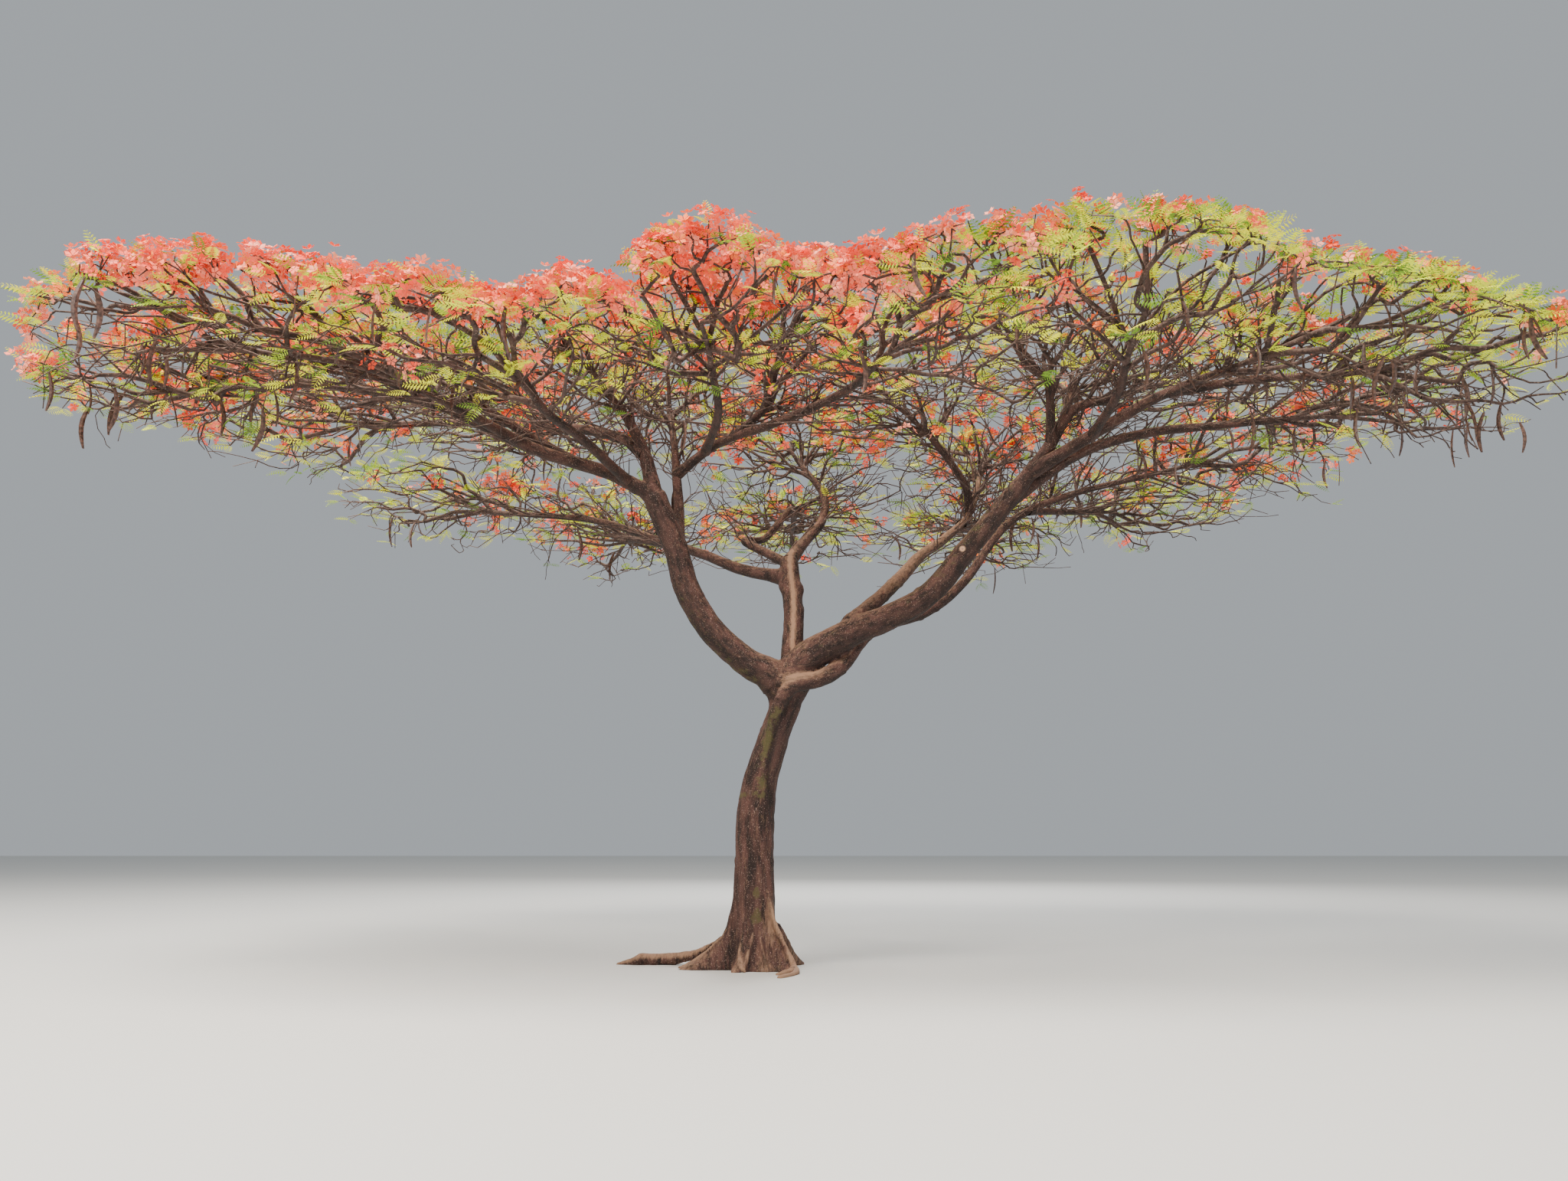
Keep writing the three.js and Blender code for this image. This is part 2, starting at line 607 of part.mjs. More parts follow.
// The tree
const tree = new THREE.Group();
const barkMaterial = () => new THREE.MeshStandardMaterial(BARK);
for (const limb of limbs.values()) {
  const mesh = new THREE.Mesh(geometryFrom(limb.solid), barkMaterial());
  mesh.name = limb.name;
  tree.add(mesh);
}
masses.forEach((mass, i) => {
  const mesh = new THREE.Mesh(geometryFrom(foliageSolid(mass, i + 1)), new THREE.MeshStandardMaterial(CROWN));
  mesh.name = mass.name + '_foliage';
  tree.add(mesh);
});

export default tree;
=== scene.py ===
import json
import math

import bpy
import numpy as np
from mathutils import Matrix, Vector
from mathutils.kdtree import KDTree

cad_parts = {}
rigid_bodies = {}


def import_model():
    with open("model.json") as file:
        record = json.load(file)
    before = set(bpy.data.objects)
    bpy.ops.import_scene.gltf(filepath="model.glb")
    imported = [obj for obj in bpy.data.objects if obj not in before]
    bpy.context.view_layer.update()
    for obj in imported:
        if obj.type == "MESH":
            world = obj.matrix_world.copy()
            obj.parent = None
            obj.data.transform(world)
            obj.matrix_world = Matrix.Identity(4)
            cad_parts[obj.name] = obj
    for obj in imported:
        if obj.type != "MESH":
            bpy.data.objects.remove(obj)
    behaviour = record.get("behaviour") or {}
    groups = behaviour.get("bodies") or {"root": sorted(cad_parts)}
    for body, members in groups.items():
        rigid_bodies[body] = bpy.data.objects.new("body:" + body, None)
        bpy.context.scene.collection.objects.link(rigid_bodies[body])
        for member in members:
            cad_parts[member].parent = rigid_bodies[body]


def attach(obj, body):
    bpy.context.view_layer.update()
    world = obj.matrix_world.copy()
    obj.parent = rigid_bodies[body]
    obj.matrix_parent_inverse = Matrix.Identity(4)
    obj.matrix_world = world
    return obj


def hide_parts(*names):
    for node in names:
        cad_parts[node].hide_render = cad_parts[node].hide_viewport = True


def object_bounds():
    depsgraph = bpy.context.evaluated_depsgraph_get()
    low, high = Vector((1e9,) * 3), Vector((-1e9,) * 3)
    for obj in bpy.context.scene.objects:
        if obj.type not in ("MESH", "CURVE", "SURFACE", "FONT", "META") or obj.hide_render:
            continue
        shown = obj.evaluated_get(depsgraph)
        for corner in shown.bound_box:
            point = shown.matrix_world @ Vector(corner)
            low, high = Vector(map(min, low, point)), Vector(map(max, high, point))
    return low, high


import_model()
cad_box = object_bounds()


# Trunk and boughs: the grown wood of a flame tree. A leaning trunk on root ridges parts at 3.3 m into a
# bent left bough, a long right bough and a back stem, and every mass of the crown has one feeding limb.
# Each limb is swept along a smooth line, and the thick ones are grown together into one skin of bark.
TRUNK_LINE = [[0, 0, 0], [-10, 0, 900], [-10, 0, 1700], [60, 0, 2200], [190, 0, 2620], [330, 0, 3000],
              [400, 0, 3300], [405, 0, 3560]]
TRUNK_THICK, TRUNK_THIN = 0.222, 0.190
# Root ridges: heading in degrees from +X, how far each stands out at the ground in mm, its sharpness, and
# the share of it that climbs the trunk
ROOT_RIDGES = [(184, 600, 30, 0.52), (238, 190, 30, 0.34), (290, 70, 10, 0.50), (325, 300, 26, 0.80),
               (28, 240, 12, 0.30), (96, 300, 14, 0.35), (146, 260, 18, 0.35)]
# Limbs that carry others: name, radii in mm at both ends, and the points of the line in mm
MAIN_LIMBS = [
    ("left_bough", 180, 142, [[300, 0, 3120], [-180, -50, 3690], [-520, -100, 3930], [-840, -200, 4420],
                              [-980, -300, 4900], [-1250, -430, 5560]]),
    ("right_bough", 210, 118, [[380, 0, 3160], [620, 0, 3740], [900, 0, 3950], [1530, 0, 4140],
                               [2090, -50, 4410], [2590, -150, 4960], [3050, -300, 5500]]),
    ("back_stem", 135, 112, [[420, 90, 3300], [450, 400, 4200], [420, 620, 4700], [390, 760, 5000]]),
]
# Masses of the crown: name, middle, half width and half height in mm, tips, share that flowers, pods, then
# the limb that its bough leaves, where on it from 0 to 1, the bough's radius, and the points it passes
MASSES = [
    ("left_tip", [-5950, -3050, 6480], 1450, 560, 11, 0.7, 2, "left_bough", 1, 92,
     [[-1790, -600, 5790], [-2590, -1000, 5950], [-3580, -1400, 6330], [-4360, -1900, 6560]]),
    ("left_low_tip", [-6720, -1750, 6380], 1350, 460, 11, 0.55, 2, "left_tip_bough", 0.62, 56,
     [[-4900, -1500, 6560]]),
    ("left_front", [-4450, -3450, 6270], 1500, 600, 11, 0.7, 1, "left_tip_bough", 0.42, 60,
     [[-3450, -2100, 6180]]),
    ("front_left", [-2500, -3950, 6040], 1600, 560, 11, 0.65, 1, "left_tip_bough", 0.12, 62,
     [[-1950, -1500, 5900], [-2150, -2300, 5880]]),
    ("left_middle", [-4500, -750, 6850], 1600, 600, 10, 0.5, 0, "left_tip_bough", 0.3, 58,
     [[-3250, -950, 6480]]),
    ("top_left", [-2150, -1500, 7120], 1600, 640, 10, 0.55, 0, "left_bough", 1, 98,
     [[-1370, -430, 6050], [-1560, -480, 6460]]),
    ("left_back", [-6300, 900, 6900], 1650, 600, 11, 0.45, 0, "top_left_bough", 0.35, 72,
     [[-1800, -150, 6420], [-2800, 300, 6720], [-4000, 600, 6860]]),
    ("left_inner_back", [-3650, 2050, 7150], 1650, 620, 10, 0.45, 0, "left_back_bough", 0.22, 56,
     [[-2450, 700, 6800]]),
    ("crest_left", [-1300, 1150, 7600], 1600, 640, 10, 0.5, 0, "left_bough", 0.74, 72,
     [[-990, 30, 5550], [-1040, 150, 6000], [-1080, 260, 6400]]),
    ("front_right", [1650, -4050, 6180], 1550, 600, 11, 0.7, 0, "crest_left_bough", 0.5, 60,
     [[-480, -300, 6270], [250, -1000, 6290], [1000, -1900, 6320]]),
    ("front_centre", [-450, -3850, 6420], 1500, 640, 11, 0.8, 0, "front_right_bough", 0.18, 54,
     [[-420, -1500, 6220]]),
    ("top_centre", [350, -1600, 7250], 1600, 640, 10, 0.65, 0, "front_right_bough", 0.32, 50,
     [[150, -900, 6560]]),
    ("back_left", [-5050, 4000, 6650], 1700, 600, 11, 0.5, 1, "back_stem", 0.72, 84,
     [[-230, 1000, 4960], [-770, 1500, 5280], [-1550, 2200, 5690], [-2560, 3000, 6180]]),
    ("back_left_low", [-2500, 5350, 6400], 1700, 600, 11, 0.5, 0, "back_left_bough", 0.5, 58,
     [[-1950, 3500, 6000]]),
    ("back_centre", [450, 5950, 6600], 1700, 600, 11, 0.45, 0, "back_stem", 0.97, 64,
     [[100, 1200, 5230], [-210, 1600, 5500], [60, 2000, 5640], [420, 2600, 6230], [480, 3900, 6400]]),
    ("inner_back", [350, 3200, 7460], 1700, 620, 10, 0.45, 0, "back_stem", 1, 86,
     [[620, 1300, 5430], [850, 1700, 5800], [900, 2100, 6300]]),
    ("inner_back_right", [3450, 2900, 7380], 1700, 620, 10, 0.4, 0, "right_bough", 0.4, 100,
     [[1810, 800, 4760], [2170, 1300, 5210], [2600, 1750, 5590], [3000, 2100, 6050]]),
    ("crest_right", [1550, 850, 7500], 1650, 640, 10, 0.5, 0, "inner_back_right_bough", 0.8, 56,
     [[2850, 1750, 6420], [2350, 1350, 6950]]),
    ("back_right_low", [3700, 5450, 6400], 1700, 600, 11, 0.45, 1, "inner_back_right_bough", 0.72, 58,
     [[3100, 3100, 6150]]),
    ("right_middle", [5350, -900, 6980], 1650, 620, 10, 0.35, 1, "right_bough", 1, 104,
     [[3490, -500, 6040], [3820, -700, 6540]]),
    ("crest_far_right", [4300, 950, 7480], 1600, 620, 10, 0.4, 0, "right_middle_bough", 0.6, 58,
     [[3950, -150, 7000]]),
    ("top_right", [2850, -1500, 7350], 1600, 640, 10, 0.5, 0, "right_middle_bough", 0.42, 58,
     [[3480, -1000, 6750]]),
    ("right_front", [5650, -3450, 6330], 1450, 600, 11, 0.35, 2, "right_middle_bough", 0.22, 80,
     [[4000, -900, 6170], [4500, -1400, 6380], [4850, -1900, 6420]]),
    ("front_far_right", [3780, -3750, 6560], 1550, 620, 10, 0.45, 1, "right_front_bough", 0.25, 56,
     [[4020, -1900, 6280]]),
    ("right_tip", [7250, -2750, 6250], 1500, 540, 11, 0.35, 4, "right_front_bough", 0.62, 56,
     [[5550, -1850, 6480]]),
    ("right_low_tip", [7600, -900, 6480], 1500, 520, 11, 0.4, 3, "right_bough", 0.97, 76,
     [[3870, -350, 6060], [4700, -450, 6330], [5600, -700, 6360]]),
    ("back_right", [6800, 1950, 6880], 1750, 600, 11, 0.45, 2, "trunk", 0.86, 112,
     [[430, -190, 3290], [720, -90, 3420], [950, 180, 3530], [1450, 500, 3940], [2200, 900, 4380],
      [2750, 1250, 4850], [3480, 1800, 5800], [4360, 1950, 6250]]),
    ("back_right_corner", [6050, 4350, 6680], 1700, 600, 11, 0.45, 0, "back_right_bough", 0.82, 54,
     [[4700, 2900, 6280]]),
]
# Where each bough enters its mass, as a share of the mass's half size, and its radius there
INLET_SHARE = 0.82
STEM_RADIUS = 0.040
UP = np.array([0.0, 0.0, 1.0])


def unit(vectors):
    """These vectors at a length of 1."""
    return vectors / np.maximum(np.linalg.norm(vectors, axis=-1, keepdims=True), 1e-9)


def point_on(line, t):
    """The place at t, from 0 to 1, on the smooth line through some points."""
    last = len(line) - 1
    step = min(int(t * last), last - 1)
    w = t * last - step
    a, b = line[step], line[step + 1]
    before = line[step - 1] if step > 0 else 2 * line[0] - line[1]
    after = line[step + 2] if step + 2 <= last else 2 * line[last] - line[last - 1]
    leave, arrive = 0.5 * (b - before), 0.5 * (after - a)
    turn = 2 * a - 2 * b + leave + arrive
    return a + leave * w + (3 * b - 3 * a - 2 * leave - arrive) * w**2 + turn * w**3


def heading_at(line, t):
    """The way that the line runs there."""
    before, after = max(0.0, t - 0.002), min(1.0, t + 0.002)
    return unit(point_on(line, after) - point_on(line, before))


limbs = {"trunk": {"line": np.array(TRUNK_LINE) / 1000, "thick": TRUNK_THICK, "thin": TRUNK_THIN}}
for name, thick, thin, points in MAIN_LIMBS:
    limbs[name] = {"line": np.array(points) / 1000, "thick": thick / 1000, "thin": thin / 1000,
                   "collar": 0.12}
masses = []
for name, heart, spread, depth, tips, flowers, pods, parent, at, radius, via in MASSES:
    heart, via = np.array(heart) / 1000, np.array(via) / 1000
    size = np.array([spread, spread, depth]) / 1000
    towards = via[-1] - heart
    inlet = heart + towards * min(1.0, INLET_SHARE / np.linalg.norm(towards / size))
    start = point_on(limbs[parent]["line"], at)
    limbs[name + "_bough"] = {"line": np.vstack([[start], via, [inlet]]), "thick": radius / 1000,
                              "thin": STEM_RADIUS, "parent": parent, "collar": 0.05 if at > 0.95 else 0.30}
    masses.append({"name": name, "bough": name + "_bough", "heart": heart, "spread": spread / 1000,
                   "depth": depth / 1000, "size": size, "inlet": inlet, "tips": tips, "flowers": flowers,
                   "pods": pods})
limbs["back_right_bough"]["collar"] = 0.0
# Where the skin of bark runs a little off the solids' lines: the great boughs leave the trunk flatter, and
# the limb that curls out of its front hugs the right bough's underside
limbs["left_bough"]["skin"] = np.array(
    [[400, 0, 3280], [230, 0, 3400], [-110, -30, 3570], [-510, -100, 3910], [-840, -200, 4420],
     [-980, -300, 4900], [-1250, -430, 5560]]) / 1000
limbs["right_bough"]["skin"] = np.array(
    [[340, 0, 3240], [480, 0, 3490], [760, 0, 3725], [1180, 0, 3955], [1590, 0, 4120], [2110, -50, 4410],
     [2590, -150, 4960], [3050, -300, 5500]]) / 1000
limbs["back_right_bough"]["skin"] = limbs["back_right_bough"]["line"].copy()
limbs["back_right_bough"]["skin"][2:5] = [[0.76, -0.17, 3.35], [1.03, 0.0, 3.52], [1.45, 0.50, 4.05]]


def stations_along(line, count):
    """Evenly numbered places on a line, each with its heading, its two sideways directions and the length
    of line up to it. The directions turn as little as they can from one place to the next."""
    shares = np.linspace(0, 1, count)
    places = np.array([point_on(line, t) for t in shares])
    headings = np.array([heading_at(line, t) for t in shares])
    side = np.array([1.0, 0.0, 0.0])
    sides = []
    for heading in headings:
        side = unit(side - heading * np.dot(side, heading))
        sides.append(side)
    sides = np.array(sides)
    run = np.concatenate([[0], np.cumsum(np.linalg.norm(np.diff(places, axis=0), axis=1))])
    return places, headings, sides, np.cross(headings, sides), run


def rings_to_faces(rings, around, first=0):
    """The four-sided faces between rings of vertices that follow each other."""
    ring, corner = np.meshgrid(np.arange(rings - 1), np.arange(around), indexing="ij")
    a = first + ring * around + corner
    b = first + ring * around + (corner + 1) % around
    return np.stack([a, b, b + around, a + around], axis=-1).reshape(-1, 4)


def lumps(points, size, seed):
    """Smooth random numbers from -1 to 1, in lumps of about this size in metres."""
    cell = points / size + seed * 7.31
    low = np.floor(cell).astype(np.int64)
    share = cell - low
    share = share * share * (3 - 2 * share)
    total = np.zeros(len(points))
    for corner in range(8):
        offset = np.array([corner & 1, (corner >> 1) & 1, (corner >> 2) & 1])
        at = low + offset
        mixed = (at[:, 0] * 73856093) ^ (at[:, 1] * 19349663) ^ (at[:, 2] * 83492791)
        mixed = ((mixed & 0xFFFFFF) * 2654435761) & 0xFFFFFFFF
        mixed = ((mixed >> 15) ^ mixed) & 0xFFFFFFFF
        weight = np.prod(np.where(offset == 1, share, 1 - share), axis=1)
        total += weight * (mixed / 2147483647.5 - 1)
    return total


def bark_relief(across, along, radius):
    """How far the bark stands out in metres: swellings, lengthwise wrinkles 3 cm apart and the fine rings
    that cross them."""
    skin = np.column_stack([across, along])
    swell = lumps(skin, 0.22, 1) * 0.045 + lumps(skin, 0.09, 2) * 0.03
    wrinkle = 1 - 2 * np.abs(lumps(skin * [1, 1, 0.16], 0.030, 3))
    rings = lumps(skin * [0.2, 0.2, 1], 0.014, 4)
    return swell * radius + wrinkle * np.minimum(0.0035, 0.025 * radius) + rings * 0.0012


def make_mesh(name, vertices, faces, smooth=True):
    """A new object from arrays of vertices and faces."""
    mesh = bpy.data.meshes.new(name)
    mesh.from_pydata(vertices.tolist(), [], faces)
    mesh.polygons.foreach_set("use_smooth", [smooth] * len(mesh.polygons))
    mesh.update()
    piece = bpy.data.objects.new(name, mesh)
    bpy.context.scene.collection.objects.link(piece)
    return piece


def limb_tube(limb, around, spacing, foot=False):
    """A round limb's vertices, faces and count of rings, thickest at a collar where it leaves its parent.
    Also each vertex's normal, its places across and along the limb, and the limb's radius there. A foot is
    its first stretch alone, which thins."""
    line = limb.get("skin", limb["line"])
    count = max(8, int(stations_along(line, 30)[4][-1] / spacing))
    places, _, sides, ups, run = stations_along(line, count)
    shares = np.linspace(0, 1, count)
    radius = limb["thick"] + (limb["thin"] - limb["thick"]) * shares
    radius = radius * (1 + limb["collar"] * np.exp(-((run / (3.2 * limb["thick"])) ** 2)))
    if foot:
        count = int(np.searchsorted(run, 6.5 * limb["thick"]))
        radius = radius * (1.06 - 0.22 * (run / run[count]) ** 2)
        places, sides, ups, run, radius = [row[:count] for row in (places, sides, ups, run, radius)]
    angle = np.linspace(0, 2 * math.pi, around, endpoint=False)
    ring = np.cos(angle)[None, :, None] * sides[:, None] + np.sin(angle)[None, :, None] * ups[:, None]
    vertices = places[:, None] + radius[:, None, None] * ring
    across = np.stack([np.cos(angle)[None] * radius[:, None], np.sin(angle)[None] * radius[:, None]], -1)
    return (vertices.reshape(-1, 3), rings_to_faces(count, around), count, ring.reshape(-1, 3),
            across.reshape(-1, 2), np.repeat(run, around), np.repeat(radius, around))


def trunk_radius(height, angle):
    """The trunk's radius: a flared foot with root ridges, and a domed top inside the fork."""
    blend = np.clip((height - 1.5) / 1.4, 0, 1)
    radius = TRUNK_THICK + (TRUNK_THIN - TRUNK_THICK) * blend * blend * (3 - 2 * blend)
    radius = radius + 0.078 * np.exp(-height / 0.3)
    for heading, reach, sharpness, tall in ROOT_RIDGES:
        away = np.cos(angle - math.radians(heading))
        fade = (1 - tall) * np.exp(-height / (0.090 + 0.00012 * reach)) + tall * np.exp(-height / 0.36)
        radius = radius + reach / 1000 * fade * np.exp(sharpness * (away - 1))
    dome = np.clip((height - 3.25) / 0.43, 0, 1)
    return radius * (1 - 0.8 * dome * dome * (3 - 2 * dome))


TRUNK_CORNERS = 150
heights = np.concatenate([np.linspace(0, 0.7, 50), np.linspace(0.72, 3.56, 110)])
trunk_points = np.array([point_on(limbs["trunk"]["line"], t) for t in np.linspace(0, 1, 400)])
grid_height, grid_angle = np.meshgrid(
    heights, np.linspace(0, 2 * math.pi, TRUNK_CORNERS, endpoint=False), indexing="ij")
grid_radius = trunk_radius(grid_height, grid_angle)
centre_x = np.interp(grid_height, trunk_points[:, 2], trunk_points[:, 0])
trunk_skin = np.stack([centre_x + grid_radius * np.cos(grid_angle), grid_radius * np.sin(grid_angle),
                       grid_height], axis=-1).reshape(-1, 3)
# Folds of wood that climb the trunk into its limbs: points in mm, and the radii at both ends
TRUNK_FOLDS = [
    ([[110, -90, 2380], [165, -150, 2640], [225, -190, 2870], [300, -215, 3090], [410, -225, 3240],
      [560, -215, 3300], [760, -175, 3350], [1030, 0, 3520]], 70, 104),
    ([[190, 0, 2450], [275, 0, 2820], [410, 0, 3180], [620, 0, 3600]], 130, 190),
    ([[190, 0, 2450], [250, 0, 2820], [290, 0, 3150], [120, -20, 3440]], 130, 172),
]
# Surface roots: the same, and how far their tops are worn pale
SURFACE_ROOTS = [
    ([[140, -180, 860], [215, -232, 560], [305, -265, 335], [390, -285, 170], [445, -330, 70],
      [470, -450, 24], [440, -640, 16], [345, -830, 8], [270, -930, -4]], 30, 28, 0.85),
    ([[390, -285, 170], [435, -350, 65], [400, -470, 24], [300, -590, 8], [240, -640, -4]], 30, 25, 0.8),
    ([[-150, -190, 360], [-180, -262, 200], [-158, -335, 80], [-100, -400, 0]], 19, 17, 0.6),
    ([[10, -222, 440], [-45, -268, 300], [-95, -318, 120], [-140, -352, 0]], 24, 20, 0.4),
    ([[10, -222, 440], [70, -272, 290], [112, -325, 150], [150, -362, 0]], 19, 17, 0.4),
    ([[-250, -50, 480], [-420, -30, 300], [-610, 0, 150], [-800, 50, 30], [-900, 80, -5]], 34, 30, 0.8),
    ([[-200, 100, 450], [-450, 200, 260], [-700, 330, 135], [-940, 420, 80], [-1200, 450, 66],
      [-1400, 450, 58]], 50, 72, 0.75),
    ([[-1340, 450, 58], [-1500, 460, 30], [-1680, 490, -10]], 66, 24, 0.6),
    ([[230, 60, 480], [360, 230, 230], [470, 400, 50], [540, 520, -10]], 62, 44, 0.3),
]
THICK_LIMBS = ["left_bough", "right_bough", "back_stem", "back_right_bough", "inner_back_right_bough"]
tubes = [(trunk_skin, rings_to_faces(len(heights), TRUNK_CORNERS), len(heights))]
tubes += [limb_tube(limbs[name], around=32, spacing=0.03) for name in THICK_LIMBS]
for name, limb in limbs.items():
    if limb.get("parent") in THICK_LIMBS[:3] and name not in THICK_LIMBS:
        tubes.append(limb_tube(limb, around=24, spacing=0.03, foot=True))
for points, thick, thin in TRUNK_FOLDS + [root[:3] for root in SURFACE_ROOTS]:
    root = {"line": np.array(points) / 1000, "thick": thick / 1000, "thin": thin / 1000, "collar": 0}
    tubes.append(limb_tube(root, around=16, spacing=0.02))
wood_vertices, wood_faces, first = [], [], 0
for vertices, faces, rings, *_ in tubes:
    around = len(vertices) // rings
    wood_vertices.append(vertices)
    wood_faces += (faces + first).tolist()
    wood_faces.append([first + i for i in range(around)][::-1])
    wood_faces.append([first + (rings - 1) * around + i for i in range(around)])
    first += len(vertices)
cores = make_mesh("wood_cores", np.vstack(wood_vertices), wood_faces)
joined = cores.modifiers.new("grown_together", "REMESH")
joined.mode = "VOXEL"
joined.voxel_size = 0.019
softened = cores.modifiers.new("softened", "SMOOTH")
softened.factor = 0.5
softened.iterations = 5
skin = bpy.data.meshes.new_from_object(cores.evaluated_get(bpy.context.evaluated_depsgraph_get()))
bpy.data.objects.remove(cores)


def numbers_of(rows, name, width):
    """The numbers that a mesh holds for each vertex, as an array."""
    found = np.empty(len(rows) * width)
    rows.foreach_get(name, found)
    return found.reshape(-1, width)


def nearest_of(places, points):
    """The number of the place that is nearest to each point."""
    tree = KDTree(len(places))
    for k, place in enumerate(places):
        tree.insert(place, k)
    tree.balance()
    return np.array([tree.find(point)[1] for point in points])


def far_from(points, place, size=1.0):
    """How far each point is from a place, in metres or in shares of a size."""
    return np.linalg.norm((points - np.array(place)) / size, axis=1)


def bell(numbers, middle, width):
    """1 in the middle, and less and less on both sides."""
    return np.exp(-(((numbers - middle) / width) ** 2))


def rise(numbers, start, width):
    """0 up to a start, then a straight climb to 1."""
    return np.clip((numbers - start) / width, 0, 1)


co = numbers_of(skin.vertices, "co", 3)
normal = numbers_of(skin.vertex_normals, "vector", 3)
GUIDE_STEPS = 90
guides = {name: stations_along(limbs[name].get("skin", limbs[name]["line"]), GUIDE_STEPS)
          for name in ["trunk"] + THICK_LIMBS}
found = nearest_of(np.vstack([guide[0] for guide in guides.values()]), co)
guide_at, guide_heading, guide_side, guide_up, guide_run = [
    np.concatenate([guide[k] for guide in guides.values()])[found] for k in range(5)]
guide_name = np.repeat(list(guides), GUIDE_STEPS)[found]
away = co - guide_at
across = np.column_stack([(away * guide_side).sum(1), (away * guide_up).sum(1)])
along = guide_run + (away * guide_heading).sum(1)
reach = np.linalg.norm(across, axis=1)
stand = bark_relief(across, along, np.minimum(reach, 0.25))

# Knots where twigs were shed, and a sawn-off branch on the right bough with healed bark round its face
rng = np.random.default_rng(3)
knots = co[rng.choice(np.flatnonzero(co[:, 2] > 1.2), 60, replace=False)]
for knot in knots:
    far = far_from(co, knot)
    wide = rng.uniform(0.022, 0.042)
    stand += 0.45 * wide * bell(far, 0, wide) - 0.2 * wide * np.exp(-((far / wide * 2.6) ** 2))
# A groove runs down the trunk from the limb that curls out of it: x for each height
GROOVE = np.array([[1.60, 0.185], [1.96, 0.168], [2.17, 0.141], [2.44, 0.167], [2.68, 0.221],
                   [2.87, 0.275], [3.05, 0.385]])
groove_x = np.interp(co[:, 2], GROOVE[:, 0], GROOVE[:, 1])
groove_x += 0.016 * lumps(co, 0.15, 9)
on_trunk = guide_name == "trunk"
in_groove = on_trunk * (normal[:, 1] < 0) * rise(co[:, 2], 1.55, 0.35) * rise(-co[:, 2], -3.15, 0.2)
groove = in_groove * bell(co[:, 0], groove_x, 0.026)
stand -= 0.030 * groove
# Swellings on the back stem: place, width and height
for x, y, z, wide, high in [(0.31, 0.56, 4.66, 0.105, 0.045), (0.53, 0.53, 4.60, 0.095, 0.038),
                            (0.40, 0.66, 5.00, 0.110, 0.030), (0.52, 0.36, 4.28, 0.080, 0.018)]:
    stand += high * bell(far_from(co, [x, y, z]), 0, wide)
from_scar = far_from(co, [2.50, -0.285, 4.93])
stand += 0.018 * bell(from_scar, 0.048, 0.018)
co = co + normal * stand[:, None]
co[:, 2] = np.where(co[:, 2] < 0.008, 0.0, co[:, 2])
skin.vertices.foreach_set("co", co.ravel())
skin.polygons.foreach_set("use_smooth", [True] * len(skin.polygons))
skin.update()
skin.name = "trunk_and_boughs"
wood = bpy.data.objects.new("trunk_and_boughs", skin)
bpy.context.scene.collection.objects.link(wood)

# Where the bark is worn pale: root crests, and the limb that curls out of the trunk's front. Painted
# highlight: the upper sides, most on that limb, and one pale streak up the front of the back stem. Moss
# grows on the trunk's upper third and the boughs' flanks. Painted shade darkens the boughs' flanks and
# undersides above 3 m, the groove and the trunk right of it, and the trunk's upper third under the crown
x, height = co[:, 0], co[:, 2]
angle = np.arctan2(co[:, 1], x)
crest = sum(np.exp(3.0 * sharp * (np.cos(angle - math.radians(heading)) - 1))
            for heading, _, sharp, _ in ROOT_RIDGES)
wear = 0.9 * np.clip(crest, 0, 1) * np.exp(-height / 0.30) * on_trunk
ROOT_STEPS = 60
root_places = np.vstack([stations_along(np.array(root[0]) / 1000, ROOT_STEPS)[0] for root in SURFACE_ROOTS])
root_share = np.tile(np.linspace(0, 1, ROOT_STEPS), len(SURFACE_ROOTS))
root_radii = np.concatenate([np.linspace(root[1], root[2], ROOT_STEPS) for root in SURFACE_ROOTS]) / 1000
root_pale = np.repeat([root[3] for root in SURFACE_ROOTS], ROOT_STEPS)
# A root that starts up on the trunk turns pale little by little
root_start = np.repeat([root[0][0][2] > 300 for root in SURFACE_ROOTS], ROOT_STEPS)
root_pale = root_pale * np.where(root_start, np.clip(root_share / 0.25, 0.15, 1), 1)
low = np.flatnonzero(height < 1.0)
hits = nearest_of(root_places, co[low])
off_root = co[low] - root_places[hits]
outward = unit(co[low] * [1, 1, 0]) * 0.7 + [0, 0, 0.8]
on_ground = rise(-height[low], -0.26, 0.14)
on_top = np.clip(((unit(off_root) * unit(outward)).sum(1) - 0.35 + 0.65 * on_ground) / 0.55, 0, 1)
close = np.clip((root_radii[hits] + 0.030 - np.linalg.norm(off_root, axis=1)) / 0.024, 0, 1)
wear[low] = np.maximum(0.6 * wear[low], root_pale[hits] * on_top * close)
flare = far_from(co, [0.21, -0.24, 0.56], [0.10, 0.14, 0.26])
wear += 0.55 * np.clip(1.4 - flare, 0, 1)
# Painted highlight: the upper sides above 1 m are lighter
wear += 0.52 * np.clip(normal[:, 2], 0, 1) ** 2 * (height > 1)
# Painted highlight: a pale streak, wavering a little, up the front of the back stem
wander = 0.05 * lumps(co * [0, 0, 1], 0.22, 11)
streak = np.exp(-(((x - guide_at[:, 0] - 0.015 - wander) / 0.030) ** 2)) * (normal[:, 1] < -0.3)
wear += 0.95 * streak * (guide_name == "back_stem") * rise(height, 3.35, 0.3)
wear += 0.30 * (guide_name == "inner_back_right_bough") * rise(height, 4.3, 0.4)
